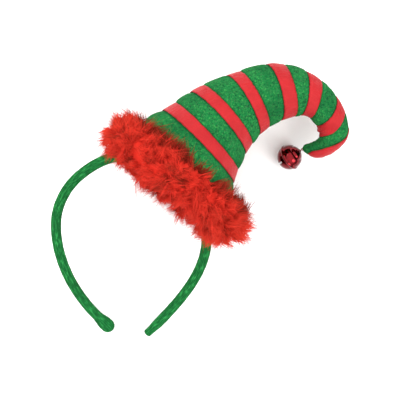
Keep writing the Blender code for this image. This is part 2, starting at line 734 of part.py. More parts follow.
def turned_hollow(centre, axis, side, other):
    """Return the ball of air inside the bell."""
    inner = BELL_DIAMETER / 2 - BELL_WALL
    steps = 2 * BELL_ARC_STEPS
    angles = [math.pi / 2 - math.pi * step / steps for step in range(1, steps)]
    rings = [bell_ring(centre, axis, side, other, inner, angle) for angle in angles]
    return tube_mesh(rings, poles=(centre + inner * axis, centre - inner * axis))


def bell_ring(centre, axis, side, other, radius, angle):
    """Return one ring of points of the bell at a latitude."""
    ring = []
    for j in range(BELL_SIDES):
        turn = 2 * math.pi * j / BELL_SIDES
        outward = math.cos(turn) * side + math.sin(turn) * other
        ring.append(centre + radius * (math.cos(angle) * outward + math.sin(angle) * axis))
    return ring


def torus(centre, axis, side, diameter, wire):
    """Return a ring of round wire that stands along the axis."""
    rings = []
    for i in range(RING_SIDES):
        angle = 2 * math.pi * i / RING_SIDES
        outward = math.cos(angle) * axis + math.sin(angle) * side
        normal = np.cross(axis, side)
        ring = []
        for j in range(WIRE_SIDES):
            turn = 2 * math.pi * j / WIRE_SIDES
            reach = (diameter - wire) / 2 + wire / 2 * math.cos(turn)
            ring.append(centre + reach * outward + wire / 2 * math.sin(turn) * normal)
        rings.append(ring)
    return tube_mesh(rings, closed_path=True)


def slot_cutters(centre, axis, side, other):
    """Return cutters for the crossed slots round the bell's far pole, with a hole at each end."""
    radius = BELL_DIAMETER / 2
    cutters = []
    for number, (long_way, short_way) in enumerate(((side, other), (other, side))):
        half = radius * math.sin(BELL_SLOT_REACH)
        rings = []
        for depth in SLOT_DEPTHS:
            level = centre + depth * radius * axis
            rings.append([
                level + x * half * long_way + y * BELL_SLOT_WIDTH / 2 * short_way
                for x, y in ((-1, -1), (1, -1), (1, 1), (-1, 1))
            ])
        cutters.append(as_cutter(add_object(f"slot_{number}", *tube_mesh(rings), None)))
        for end in (-1, 1):
            spot = end * half * long_way
            rings = []
            for depth in HOLE_DEPTHS:
                level = centre + spot + depth * radius * axis
                ring = []
                for j in range(HOLE_SIDES):
                    turn = 2 * math.pi * j / HOLE_SIDES
                    offset = math.cos(turn) * long_way + math.sin(turn) * short_way
                    ring.append(level + BELL_SLOT_HOLE / 2 * offset)
                rings.append(ring)
            cutters.append(as_cutter(add_object(f"slot_{number}_end_{end + 1}", *tube_mesh(rings), None)))
    return cutters


def build_ball(centre, material):
    """Build the loose ball that lies in the bell."""
    mesh = bpy.data.meshes.new("bell_ball")
    bm = bmesh.new()
    bmesh.ops.create_icosphere(bm, subdivisions=2, radius=BELL_BALL_DIAMETER / 2)
    bm.to_mesh(mesh)
    bm.free()
    mesh.materials.append(material)
    mesh.shade_smooth()
    ball = bpy.data.objects.new("bell_ball", mesh)
    ball.location = centre
    bpy.context.scene.collection.objects.link(ball)


def stand_on_origin():
    """Hang all objects on one empty, and set it so that the origin is their bottom centre."""
    pieces = [obj for obj in bpy.data.objects if obj.type == "MESH"]
    bpy.context.view_layer.update()
    shown = [obj for obj in pieces if not obj.hide_render]
    corners = np.array([obj.matrix_world @ vertex.co for obj in shown for vertex in obj.data.vertices])
    low, high = corners.min(axis=0), corners.max(axis=0)
    middle = (low + high) / 2
    holder = bpy.data.objects.new("elf_hat_headband", None)
    bpy.context.scene.collection.objects.link(holder)
    for obj in pieces:
        obj.parent = holder
    holder.location = (-middle[0], -middle[1], -low[2])
    bpy.context.view_layer.update()


def main():
    """Build every piece of the headband."""
    clear_scene()
    layout = Layout()
    hat = Hat(layout)
    felt = make_material("hat_felt", HAT_FELT)
    satin = make_material("satin", SATIN)
    build_band(layout, make_material("band_felt", BAND_FELT))
    build_hat(hat, felt)
    build_ribbons(hat, satin)
    build_tip_ribbon(hat, satin)
    build_disc(layout, hat, felt)
    build_patch(layout, felt)
    build_boa(layout, hat, make_material("feather", FEATHER))
    build_bell(
        layout,
        hat,
        make_material("red_metal", RED_METAL),
        make_material("steel", STEEL),
        make_material("thread", THREAD),
    )
    stand_on_origin()


main()
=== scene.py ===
"""Dresses the elf hat headband: felt, ribbons, feather boa, jingle bell, floor, light and camera.

Every shape is worked out in the layout of the part, whose origin is under the middle of the boa,
and then moved to the row frame. Lengths are metres, and +Z is up.
"""
import logging
import math
from collections.abc import Callable, Sequence
from dataclasses import dataclass, field
from enum import Enum
from typing import NamedTuple

import bmesh
import bpy
import numpy as np
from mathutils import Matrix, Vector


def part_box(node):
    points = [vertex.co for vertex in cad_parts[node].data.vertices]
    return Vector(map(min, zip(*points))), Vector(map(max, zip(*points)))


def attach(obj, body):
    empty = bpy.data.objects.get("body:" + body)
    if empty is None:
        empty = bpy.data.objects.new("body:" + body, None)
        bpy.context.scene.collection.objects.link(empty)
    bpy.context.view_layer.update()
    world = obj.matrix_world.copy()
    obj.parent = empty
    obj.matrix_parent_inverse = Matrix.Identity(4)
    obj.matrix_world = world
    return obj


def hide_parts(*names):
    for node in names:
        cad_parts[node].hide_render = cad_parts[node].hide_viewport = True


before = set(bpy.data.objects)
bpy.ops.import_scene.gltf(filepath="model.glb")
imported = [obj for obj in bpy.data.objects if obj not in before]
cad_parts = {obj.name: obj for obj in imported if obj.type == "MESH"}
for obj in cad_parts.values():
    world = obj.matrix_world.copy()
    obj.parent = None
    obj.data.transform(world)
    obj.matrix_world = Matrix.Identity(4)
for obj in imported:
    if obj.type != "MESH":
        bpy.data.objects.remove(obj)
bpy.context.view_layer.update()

Array = np.ndarray
Triple = tuple[float, float, float]
Colour = Triple
LOG = logging.getLogger("headband")
TURN = 2 * math.pi
UP = np.array((0.0, 0.0, 1.0))
TINY = 1e-6

# Blender's cloth settings for the felt that its filling presses out
FILLED_FELT = {
    "quality": 6,
    "mass": 0.1,
    "tension_stiffness": 12.0,
    "compression_stiffness": 12.0,
    "shear_stiffness": 6.0,
    "bending_stiffness": 0.6,
    "use_pressure": True,
    "uniform_pressure_force": 4.0,
    "shrink_min": -0.03,
    "vertex_group_mass": "held",
}


# Helpers on arrays

def unit(vectors: Array) -> Array:
    """Return the vectors at length one."""
    return vectors / np.linalg.norm(vectors, axis=-1, keepdims=True)


def ease(share: Array) -> Array:
    """Return shares from 0 to 1 on a curve that starts and ends level: 3 s^2 - 2 s^3."""
    share = np.clip(share, 0.0, 1.0)
    return share * share * (3 - 2 * share)


def full_turn(count: int) -> Array:
    """Return that many angles, spread evenly round a circle."""
    return np.arange(count) * TURN / count


def spokes(angles: Array, first: Array, second: Array) -> Array:
    """Return directions: the cosine of each angle along the first one and its sine along the second."""
    return np.cos(angles)[..., None] * first + np.sin(angles)[..., None] * second


def turned_from(angles: Array, place: float) -> Array:
    """Return how far angles are from a place, from minus half a turn to half a turn."""
    return np.remainder(angles - place + math.pi, TURN) - math.pi


def bell_curve(off: Array, width: float, power: int = 2) -> Array:
    """Return e to the minus power of off over the width: 1 in the middle, and soon 0 beyond."""
    return np.exp(-((off / width) ** power))


def lengths_to(points: Array) -> Array:
    """Return how far along a line each of its points is."""
    return np.concatenate(([0.0], np.cumsum(np.linalg.norm(np.diff(points, axis=0), axis=1))))


def spread(count: int, length: float) -> Array:
    """Return the places that split a length into that many equal steps, with both ends."""
    return np.arange(count + 1) * length / count


def rounded(radius: float, past: Array) -> Array:
    """Return how far a round edge has come in, past its start: radius - sqrt(radius^2 - past^2)."""
    return radius - np.sqrt(np.maximum(radius**2 - np.maximum(past, 0) ** 2, 0))


def on_line(at: Array, knots: Array, points: Array) -> Array:
    """Return a line's points at distances along it, straight between those given."""
    return np.stack([np.interp(at, knots, points[:, axis]) for axis in range(3)], axis=1)


def smooth_table(knots: Array, values: Array, at: Array) -> Array:
    """Interpolate a table on cubic pieces whose slopes are the table's own gradient.

    Args:
        knots: the places of the table's rows, rising.
        values: one row of values for each knot.
        at: the places wanted.

    Returns:
        The values there, one row for each place.
    """
    knots, values = np.asarray(knots, float), np.asarray(values, float)
    at = np.clip(np.asarray(at, float), knots[0], knots[-1])
    slopes = np.gradient(values, knots, axis=0)
    cell = np.clip(np.searchsorted(knots, at, side="right") - 1, 0, len(knots) - 2)
    span = knots[cell + 1] - knots[cell]
    s = (at - knots[cell]) / span
    shape = s.shape + (1,) * (values.ndim - 1)
    s, span = s.reshape(shape), span.reshape(shape)
    return (
        (2 * s**3 - 3 * s**2 + 1) * values[cell]
        + (s**3 - 2 * s**2 + s) * span * slopes[cell]
        + (3 * s**2 - 2 * s**3) * values[cell + 1]
        + (s**3 - s**2) * span * slopes[cell + 1]
    )


def ripple(along: Array, around: Array, seed: int, waves: int = 9, finest: float = 6.0) -> Array:
    """Return a smooth uneven surface, mostly between -1 and 1: sines over the root of their number.

    Each sine has a whole number of waves round the piece, so that the surface closes.

    Args:
        along: places along the piece, in its own lengths.
        around: angles round the piece.
        seed: the seed of the sines.
        waves: how many sines.
        finest: the most waves over one length.

    Returns:
        The surface's height at each place.
    """
    random = np.random.default_rng(seed)
    total = np.zeros(np.broadcast(along, around).shape)
    for _ in range(waves):
        rate = TURN * random.uniform(0.6, finest)
        turns = random.integers(-4, 5)
        total = total + np.sin(rate * along + turns * around + random.uniform(0, TURN))
    return total / math.sqrt(waves)


# Meshes

@dataclass
class Skin:
    """Vertices and faces gathered for one mesh, with a map of its surface in metres."""

    vertices: list[Array] = field(default_factory=list)
    faces: list[Array] = field(default_factory=list)
    places: list[Array] = field(default_factory=list)
    count: int = 0

    def add(self, vertices: Array, faces: list[Array], places: list[Array]) -> None:
        """Add vertices and faces.

        Args:
            vertices: the points.
            faces: groups of faces, whose corners count from the first of the points.
            places: the map at each corner, a group for each group of faces.
        """
        self.vertices.append(np.asarray(vertices, float).reshape(-1, 3))
        self.faces += [np.asarray(f) + self.count for f in faces]
        self.places += [np.asarray(p, float) for p in places]
        self.count += len(self.vertices[-1])

    def rings(self, rings: Array, along: Array, around: Array, closed: bool = False,
              poles: Sequence[Array | None] = (None, None), flat_ends: bool = False) -> None:
        """Skin rings of points: each row is a profile, and the rows follow one another.

        Args:
            rings: rows by columns by 3.
            along: the map's distance at each row, with one more at the end if the rows close.
            around: the map's distance at each column, with one more where the profile closes.
            closed: whether the last row meets the first.
            poles: a point that closes the first end and one for the last, or None.
            flat_ends: whether each end of a flat profile, whose second half lies under its first
                in reverse order, is closed between the two.
        """
        rows, columns = rings.shape[:2]
        i, j = np.meshgrid(np.arange(rows if closed else rows - 1), np.arange(columns), indexing="ij")
        corners = np.stack([(i, j), (i, j + 1), (i + 1, j + 1), (i + 1, j)])
        quads = ((corners[:, 0] % rows) * columns + corners[:, 1] % columns).reshape(4, -1).T
        places = np.stack((np.asarray(along)[corners[:, 0]], np.asarray(around)[corners[:, 1]]), axis=-1)
        places = places.reshape(4, -1, 2).transpose(1, 0, 2)
        vertices, faces, maps = [rings.reshape(-1, 3)], [quads], [places]
        total = rows * columns
        for end, pole in enumerate(poles):
            row = 0 if end == 0 else rows - 1
            first = row * columns + np.arange(columns)
            if pole is not None:
                second = row * columns + (np.arange(columns) + 1) % columns
                pair = (second, first) if end == 0 else (first, second)
                faces.append(np.stack((np.full(columns, total), *pair), axis=1))
                across = np.stack((around[:-1],) * 3, axis=1)
                maps.append(np.stack((np.full_like(across, along[row]), across), axis=2))
                vertices.append(np.asarray(pole, float).reshape(1, 3))
                total += 1
            elif flat_ends:
                near = np.arange(columns // 2 - 1)
                far = columns - 1 - near
                strip = np.stack((near, near + 1, far - 1, far), axis=1)
                faces.append(row * columns + (strip[:, ::-1] if end == 0 else strip))
                maps.append(np.full((len(strip), 4, 2), along[row]))
        self.add(np.concatenate(vertices), faces, maps)

    def tubes(self, paths: Array, radii: Array, sides: int, upright: Array, pointed: bool = False) -> None:
        """Add many thin closed tubes at once.

        Args:
            paths: tubes by points by 3.
            radii: a radius for each tube and point.
            sides: the sides of each tube.
            upright: a direction for each tube that isn't along it.
            pointed: whether each tube ends in one point, its path's last.
        """
        count, points = paths.shape[:2]
        tangents = unit(np.gradient(paths, axis=1))
        side = unit(np.cross(tangents, upright[:, None, :]))
        other = np.cross(tangents, side)
        rows = points - 1 if pointed else points
        outward = spokes(full_turn(sides), side[:, :rows, None], other[:, :rows, None])
        rings = paths[:, :rows, None] + radii[:, :rows, None, None] * outward
        each = rows * sides + 2
        vertices = np.concatenate((rings.reshape(count, -1, 3), paths[:, :1], paths[:, -1:]), axis=1)
        i, j = np.meshgrid(np.arange(rows - 1), np.arange(sides), indexing="ij")
        k = (j + 1) % sides
        quads = np.stack((i * sides + j, i * sides + k, (i + 1) * sides + k, (i + 1) * sides + j), axis=-1)
        quads = quads.reshape(-1, 4)
        j = np.arange(sides)
        k, last = (j + 1) % sides, (rows - 1) * sides
        first_cap = np.stack((np.full(sides, each - 2), k, j), axis=1)
        last_cap = np.stack((np.full(sides, each - 1), last + j, last + k), axis=1)
        base = (np.arange(count) * each)[:, None, None]
        faces = [(base + part).reshape(-1, part.shape[1]) for part in (quads, first_cap, last_cap)]
        self.add(vertices, faces, [np.zeros((len(f), f.shape[1], 2)) for f in faces])

    def build(self, name: str, outward: bool = True) -> bpy.types.Object:
        """Make the mesh object, smooth and with its map.

        Args:
            name: the piece's name.
            outward: whether to have Blender turn all faces outwards.

        Returns:
            The object, linked to the scene.
        """
        vertices = np.concatenate(self.vertices)
        loops = np.concatenate([f.ravel() for f in self.faces]).astype(np.int32)
        sizes = np.concatenate([np.full(len(f), f.shape[1], np.int32) for f in self.faces])
        mesh = bpy.data.meshes.new(name)
        mesh.vertices.add(len(vertices))
        mesh.vertices.foreach_set("co", vertices.astype(np.float32).ravel())
        mesh.loops.add(len(loops))
        mesh.loops.foreach_set("vertex_index", loops)
        mesh.polygons.add(len(sizes))
        mesh.polygons.foreach_set("loop_start", (np.cumsum(sizes) - sizes).astype(np.int32))
        mesh.polygons.foreach_set("use_smooth", np.ones(len(sizes), bool))
        mesh.update(calc_edges=True)
        layer = mesh.uv_layers.new(name="Surface")
        places = np.concatenate([p.reshape(-1, 2) for p in self.places]).astype(np.float32)
        layer.uv.foreach_set("vector", places.ravel())
        if outward:
            turn_outwards(mesh)
        obj = bpy.data.objects.new(name, mesh)
        bpy.context.scene.collection.objects.link(obj)
        return obj


def turn_outwards(mesh: bpy.types.Mesh) -> None:
    """Turn all faces of a closed mesh outwards.

    Args:
        mesh: the mesh, which is changed.
    """
    bm = bmesh.new()
    bm.from_mesh(mesh)
    bmesh.ops.recalc_face_normals(bm, faces=bm.faces)
    bm.to_mesh(mesh)
    bm.free()


def points_of(mesh: bpy.types.Mesh) -> Array:
    """Read a mesh's vertices.

    Args:
        mesh: the mesh.

    Returns:
        Their places, one row each.
    """
    flat = np.zeros(len(mesh.vertices) * 3, np.float32)
    mesh.vertices.foreach_get("co", flat)
    return flat.reshape(-1, 3).astype(float)


def shown_mesh(obj: bpy.types.Object) -> bpy.types.Mesh:
    """Work out how an object looks with its modifiers.

    Args:
        obj: the object.

    Returns:
        A new mesh of it.
    """
    graph = bpy.context.evaluated_depsgraph_get()
    graph.update()
    return bpy.data.meshes.new_from_object(obj.evaluated_get(graph))


def apply_modifiers(obj: bpy.types.Object) -> None:
    """Apply an object's modifiers to its own mesh.

    Args:
        obj: the object, which is changed.
    """
    mesh = shown_mesh(obj)
    obj.modifiers.clear()
    obj.data = mesh
    mesh.name = obj.name


def give_values(obj: bpy.types.Object, name: str, values: Array) -> None:
    """Store one number for each vertex under a name, for a material to read."""
    attribute = obj.data.attributes.new(name, "FLOAT", "POINT")
    attribute.data.foreach_set("value", np.asarray(values, np.float32))


# Shader expressions

def operator(operation: str, swapped: bool = False) -> Callable[["Wire", "Wire | float"], "Wire"]:
    """Make a method of a wire that adds one Math node.

    Args:
        operation: the node's operation.
        swapped: whether the other value comes first.

    Returns:
        The method, which takes the other value.
    """
    def method(wire: "Wire", other: "Wire | float") -> "Wire":
        """Return the operation on the wire and the other value."""
        return wire.math(operation, *((other, wire) if swapped else (wire, other)))
    return method


@dataclass
class Wire:
    """A value socket in a material. Expressions on wires add Math nodes."""

    kit: "NodeKit"
    socket: bpy.types.NodeSocket

    def math(self, operation: str, *operands: "Wire | float") -> "Wire":
        """Return the result of a Math node."""
        node = self.kit.add("ShaderNodeMath", {"operation": operation}, dict(enumerate(operands)))
        return Wire(self.kit, node.outputs[0])

    __add__ = operator("ADD")
    __radd__ = operator("ADD", swapped=True)
    __sub__ = operator("SUBTRACT")
    __rsub__ = operator("SUBTRACT", swapped=True)
    __mul__ = operator("MULTIPLY")
    __rmul__ = operator("MULTIPLY", swapped=True)
    most = operator("MAXIMUM")

    def sine(self) -> "Wire":
        """Return the sine of self."""
        return self.math("SINE", self)

    def wrap(self, length: float) -> "Wire":
        """Return self less whole lengths, from 0 to the length."""
        return self.math("WRAP", self, length, 0.0)

    def distance_to(self, place: float) -> "Wire":
        """Return how far self is from a place."""
        return self.math("ABSOLUTE", self - place)

    def step(self, low: float, high: float) -> "Wire":
        """Rise smoothly from 0 to 1.

        Args:
            low: where the rise starts.
            high: where it ends.

        Returns:
            The rise at this wire's value.
        """
        node = self.kit.add(
            "ShaderNodeMapRange", {"interpolation_type": "SMOOTHSTEP"},
            {"Value": self, "From Min": low, "From Max": high},
        )
        return Wire(self.kit, node.outputs[0])


class NodeKit:
    """The nodes of one material."""

    def __init__(self, name: str) -> None:
        """Start a material with a Principled shader.

        Args:
            name: the material's name.
        """
        self.material = bpy.data.materials.new(name)
        self.material.use_nodes = True
        self.tree = self.material.node_tree
        self.shader = self.tree.nodes["Principled BSDF"]

    def add(self, kind: str, settings: dict | None = None, values: dict | None = None) -> bpy.types.Node:
        """Add a node.

        Args:
            kind: the node's type.
            settings: its properties, which are set first.
            values: numbers, wires or sockets for its inputs, by name or number.

        Returns:
            The node.
        """
        node = self.tree.nodes.new(kind)
        for name, value in (settings or {}).items():
            setattr(node, name, value)
        for name, value in (values or {}).items():
            self.feed(node.inputs[name], value)
        return node

    def feed(self, socket: bpy.types.NodeSocket, value: object) -> None:
        """Link a wire or socket to an input, or set its number or colour.

        Args:
            socket: the input.
            value: what it gets.
        """
        if isinstance(value, Wire):
            self.tree.links.new(value.socket, socket)
        elif isinstance(value, bpy.types.NodeSocket):
            self.tree.links.new(value, socket)
        elif isinstance(value, tuple) and socket.type == "RGBA":
            socket.default_value = (*value, 1.0)
        else:
            socket.default_value = value

    def place(self, scale: Triple = (1.0, 1.0, 1.0),
              turn: Triple = (0.0, 0.0, 0.0)) -> bpy.types.NodeSocket:
        """Read the place on the object.

        Args:
            scale: how much it is scaled along each axis, after the turn.
            turn: the turn about each axis, in radians.

        Returns:
            The place.
        """
        coordinates = self.add("ShaderNodeTexCoord")
        mapping = self.add("ShaderNodeMapping", {"vector_type": "TEXTURE"}, {
            "Vector": coordinates.outputs["Object"],
            "Rotation": turn,
            "Scale": tuple(1.0 / s for s in scale),
        })
        return mapping.outputs[0]

    def surface(self) -> tuple[Wire, Wire]:
        """Read the place on the piece's own map.

        Returns:
            How far along the piece and how far across it, in metres.
        """
        source = self.add("ShaderNodeUVMap", {"uv_map": "Surface"})
        parts = self.add("ShaderNodeSeparateXYZ", None, {0: source.outputs[0]})
        return Wire(self, parts.outputs[0]), Wire(self, parts.outputs[1])

    def vector(self, x: Wire | float, y: Wire | float, z: Wire | float = 0.0) -> bpy.types.NodeSocket:
        """Return a vector of three values."""
        return self.add("ShaderNodeCombineXYZ", None, {0: x, 1: y, 2: z}).outputs[0]

    def stored(self, name: str) -> Wire:
        """Return the numbers stored on the mesh under a name."""
        return Wire(self, self.add("ShaderNodeAttribute", {"attribute_name": name}).outputs["Fac"])

    def noise(self, place: bpy.types.NodeSocket, scale: float, detail: float = 2.0,
              roughness: float = 0.5, distortion: float = 0.0) -> Wire:
        """Add soft noise.

        Args:
            place: where it is read.
            scale: its waves over one unit of the place.
            detail: how many finer layers it has.
            roughness: how strong those are.
            distortion: how much it swirls.

        Returns:
            The noise, about 0.5 on average.
        """
        node = self.add("ShaderNodeTexNoise", None, {
            "Vector": place, "Scale": scale, "Detail": detail,
            "Roughness": roughness, "Distortion": distortion,
        })
        return Wire(self, node.outputs[0])

    def mix(self, first: object, second: object, factor: Wire) -> bpy.types.NodeSocket:
        """Return a mix of two colours."""
        node = self.add("ShaderNodeMix", {"data_type": "RGBA"}, {0: factor, 6: first, 7: second})
        return node.outputs[2]

    def bump(self, height: Wire, distance: float) -> None:
        """Feed the shader's normal with a bump of that height, from 0 to 1, times a distance."""
        node = self.add("ShaderNodeBump", None, {"Strength": 1.0, "Distance": distance, "Height": height})
        self.feed(self.shader.inputs["Normal"], node.outputs[0])

    def set(self, **values: object) -> None:
        """Set or link the shader's inputs, whose names are written with _ for each space."""
        for name, value in values.items():
            self.feed(self.shader.inputs[name.replace("_", " ")], value)


# Finishes

@dataclass(frozen=True)
class Finish:
    """A finish by its name and its main colour. Each kind paints its own shader."""

    name: str
    base: Colour

    def material(self) -> bpy.types.Material:
        """Make the material.

        Returns:
            The material, painted by the kind of finish.
        """
        kit = NodeKit(self.name)
        self.paint(kit)
        return kit.material

    def paint(self, kit: NodeKit) -> None:
        """Paint the shader, which each kind of finish does in its own way."""
        raise NotImplementedError

    def darker(self, share: float) -> Colour:
        """Return the main colour at a share of its brightness."""
        return tuple(share * part for part in self.base)


@dataclass(frozen=True)
class Felt(Finish):
    """Pressed felt: heathered short fibres of several greens that lie every way."""

    deep: Colour
    pale: Colour
    grey: Colour
    speck: float = 0.0019
    fibre: float = 0.00024
    height: float = 0.00035

    def paint(self, kit: NodeKit) -> None:
        """Paint specks, grain and three layers of long thin fibres, with a bump.

        Dark specks and pale specks are the two tails of two noises. Painted shade in the fold beside
        each ribbon, stored on the mesh, darkens the felt there.

        Args:
            kit: the material's nodes.
        """
        blotch = kit.noise(kit.place(), 48.0, 3.0)
        specks = kit.noise(kit.place(), 1.0 / self.speck, 3.0, 0.62, 0.4)
        other = kit.noise(kit.place((1.0, 1.0, 1.0), (0.7, 0.4, 1.1)), 1.25 / self.speck, 3.0, 0.66, 0.4)
        grain = kit.noise(kit.place(), 0.30 / self.fibre, 4.0, 0.72)
        fibres = None
        for turn in ((0.2, 0.5, 0.1), (1.3, 0.2, 1.2), (0.4, 1.4, 2.3)):
            thin = kit.noise(kit.place((0.12, 1.0, 1.0), turn), 0.40 / self.fibre, 1.0, 0.5, 0.3)
            fibres = thin if fibres is None else fibres.most(thin)
        strands = fibres.step(0.58, 0.74)
        colour = kit.mix(self.deep, self.base, (specks * 0.7 + grain * 0.3).step(0.38, 0.52))
        colour = kit.mix(colour, self.pale, other.step(0.52, 0.66) * 0.85)
        colour = kit.mix(colour, self.grey, strands * 0.55)
        colour = kit.mix(colour, self.deep, (1 - blotch.step(0.30, 0.62)) * 0.40)
        # painted shade in the fold beside each ribbon
        colour = kit.mix(colour, self.deep, kit.stored("fold_shade").step(0.05, 0.9) * 0.75)
        kit.set(
            Base_Color=colour, Roughness=0.86 + 0.12 * grain, Specular_IOR_Level=0.05,
            Sheen_Weight=0.05, Sheen_Roughness=0.45, Sheen_Tint=self.pale,
        )
        kit.bump(grain * 0.45 + strands * 0.25 + specks * 0.3, self.height)


@dataclass(frozen=True)
class Velour(Finish):
    """Close pile fabric of the band, with faint ribs along it and a sewn seam."""

    deep: Colour
    pale: Colour
    rib: float = 0.00115
    seam: float = 0.0200
    stitch: float = 0.0026

    def paint(self, kit: NodeKit) -> None:
        """Paint the fabric: sines across the piece's map are its ribs, and noise is its pile.

        Args:
            kit: the material's nodes.
        """
        along, across = kit.surface()
        drift = kit.noise(kit.vector(along * 60.0, across * 60.0), 1.0, 2.0)
        ribs = (across * (TURN / self.rib) + drift * 5.0).sine() * 0.5 + 0.5
        pile = kit.noise(kit.place(), 1700.0, 3.0, 0.7)
        streak = kit.noise(kit.vector(along * 170.0, across * 800.0), 1.0, 3.0, 0.65)
        patch = kit.noise(kit.place(), 60.0, 2.0)
        colour = kit.mix(self.deep, self.base, (pile * 0.35 + ribs * 0.15 + streak * 0.6).step(0.44, 0.64))
        colour = kit.mix(colour, self.pale, streak.step(0.52, 0.64) * 0.8)
        colour = kit.mix(colour, self.deep, (1 - patch.step(0.30, 0.60)) * 0.35)
        beside = across.distance_to(self.seam)
        gap = along.wrap(self.stitch)
        shown = gap.step(0.0006, 0.0008) * (1 - gap.step(0.0022, 0.0024))
        thread = (1 - beside.step(0.00018, 0.00042)) * shown
        # painted shade: the fabric darkens in the groove along the seam; the same mask dents the bump
        fold_shade = 1 - beside.step(0.0001, 0.0009)
        colour = kit.mix(colour, self.deep, fold_shade * 0.6)
        colour = kit.mix(colour, self.pale, thread * 0.8)
        kit.set(
            Base_Color=colour, Roughness=0.80 + 0.15 * pile, Specular_IOR_Level=0.06,
            Sheen_Weight=0.08, Sheen_Roughness=0.35, Sheen_Tint=self.pale,
        )
        kit.bump(pile * 0.35 + ribs * 0.35 + streak * 0.3 - fold_shade * 0.6 + thread * 0.6, 0.00022)


@dataclass(frozen=True)
class Satin(Finish):
    """Woven ribbon: fine ribs across it, soft sheen, and painted shade along both edges."""

    deep: Colour
    pale: Colour
    rib: float = 0.00052
    edge: float = 0.0105

    def paint(self, kit: NodeKit) -> None:
        """Paint the weave: sines along the ribbon are its ribs, and sines across are its warp.

        Args:
            kit: the material's nodes.
        """
        along, across = kit.surface()
        ribs = (along * (TURN / self.rib)).sine() * 0.5 + 0.5
        warp = (across * (TURN / 0.00021)).sine() * 0.5 + 0.5
        slub = kit.noise(kit.vector(along * 900.0, across * 120.0), 1.0, 2.0, 0.6)
        wash = kit.noise(kit.place(), 95.0, 2.0)
        # painted shade: a dark line along both edges of the ribbon, where it meets the felt
        rim = 1 - across.step(0.0, 0.0009) * (1 - across.step(self.edge - 0.0009, self.edge))
        colour = kit.mix(self.base, self.deep, (1 - ribs) * 0.22)
        colour = kit.mix(colour, self.pale, slub.step(0.50, 0.80) * 0.38)
        # random duller patches, with the painted shade along the edges
        colour = kit.mix(colour, self.deep, (1 - wash.step(0.32, 0.60)) * 0.35 + rim * 0.45)
        kit.set(
            Base_Color=colour, Roughness=0.46 + 0.18 * slub, Specular_IOR_Level=0.12, Anisotropic=0.45,
        )
        kit.bump(ribs * 0.6 + warp * 0.15 + slub * 0.25, 0.00008)


@dataclass(frozen=True)
class Down(Finish):
    """Marabou down: barbs painted dark towards the quill as shade deep in the down, bright at the tip."""

    root: Colour
    tip: Colour
    shade: Colour

    def paint(self, kit: NodeKit) -> None:
        """Paint the down by how far out a point is, by its lock's tone and the fringe's painted shade,
        and by painted light at the ring's two sides, all stored on the mesh.

        Args:
            kit: the material's nodes.
        """
        out, tone, painted_side_light = kit.stored("out"), kit.stored("tone"), kit.stored("painted_side_light")
        fine = kit.noise(kit.place(), 1300.0, 2.0)
        # painted shade: darker towards the quill, deep in the down
        colour = kit.mix(self.root, self.base, (out + 0.25 * fine).step(0.25, 0.80))
        # painted light: the brighter tip colour, at the tips and near the ring's two sides
        colour = kit.mix(colour, self.tip, (out.step(0.60, 1.05) * 0.55 + painted_side_light * 0.5) * (0.4 + 0.6 * tone))
        # the shade colour, on random dark locks and as painted shade on the fringe over the felt
        colour = kit.mix(colour, self.shade, (1 - tone.step(0.0, 0.42)) * 0.85)
        kit.set(
            Base_Color=colour, Roughness=0.66 + 0.2 * fine, Specular_IOR_Level=0.06,
            Sheen_Weight=0.15, Sheen_Roughness=0.40, Sheen_Tint=self.tip,
        )


@dataclass(frozen=True)
class Lacquer(Finish):
    """Red lacquered sheet metal, with fine rubs and handling marks."""

    deep: Colour

    def paint(self, kit: NodeKit) -> None:
        """Paint the metal: long thin noise is its rubs, and wide noise its handling marks.

        Args:
            kit: the material's nodes.
        """
        rubs = kit.noise(kit.place((1.0, 0.08, 1.0), (0.3, 0.8, 0.6)), 4200.0, 2.0, 0.6)
        marks = kit.noise(kit.place(), 330.0, 3.0)
        colour = kit.mix(self.deep, self.base, marks.step(0.30, 0.62))
        kit.set(
            Base_Color=colour, Metallic=1.0,
            Roughness=0.12 + 0.10 * rubs.step(0.55, 0.80) + 0.06 * marks.step(0.50, 0.75),
            Coat_Weight=0.2, Coat_Roughness=0.06,
        )
        kit.bump(rubs * 0.3 + marks * 0.7, 0.00002)


@dataclass(frozen=True)
class Steel(Finish):
    """Plain rolled steel of the loose ball."""

    def paint(self, kit: NodeKit) -> None:
        """Paint the steel, which noise darkens and dulls.

        Args:
            kit: the material's nodes.
        """
        stain = kit.noise(kit.place(), 900.0, 4.0, 0.65)
        colour = kit.mix(self.base, self.darker(0.45), stain.step(0.40, 0.70))
        kit.set(Base_Color=colour, Metallic=1.0, Roughness=0.22 + 0.3 * stain)
        kit.bump(stain, 0.00004)


@dataclass(frozen=True)
class Thread(Finish):
    """Spun sewing thread."""

    deep: Colour

    def paint(self, kit: NodeKit) -> None:
        """Paint the thread, with fine noise for its fuzz.

        Args:
            kit: the material's nodes.
        """
        fuzz = kit.noise(kit.place(), 5200.0, 3.0, 0.7)
        kit.set(
            Base_Color=kit.mix(self.deep, self.base, fuzz.step(0.35, 0.60)), Roughness=0.7 + 0.2 * fuzz,
            Specular_IOR_Level=0.2, Sheen_Weight=0.2,
        )
        kit.bump(fuzz, 0.00005)


@dataclass(frozen=True)
class Paper(Finish):
    """Matt pale studio floor."""

    def paint(self, kit: NodeKit) -> None:
        """Paint the paper, which wide noise keeps from being one flat colour.

        Args:
            kit: the material's nodes.
        """
        grain = kit.noise(kit.place(), 380.0, 3.0, 0.6)
        colour = kit.mix(self.base, self.darker(0.985), grain)
        kit.set(Base_Color=colour, Roughness=0.92, Specular_IOR_Level=0.05)


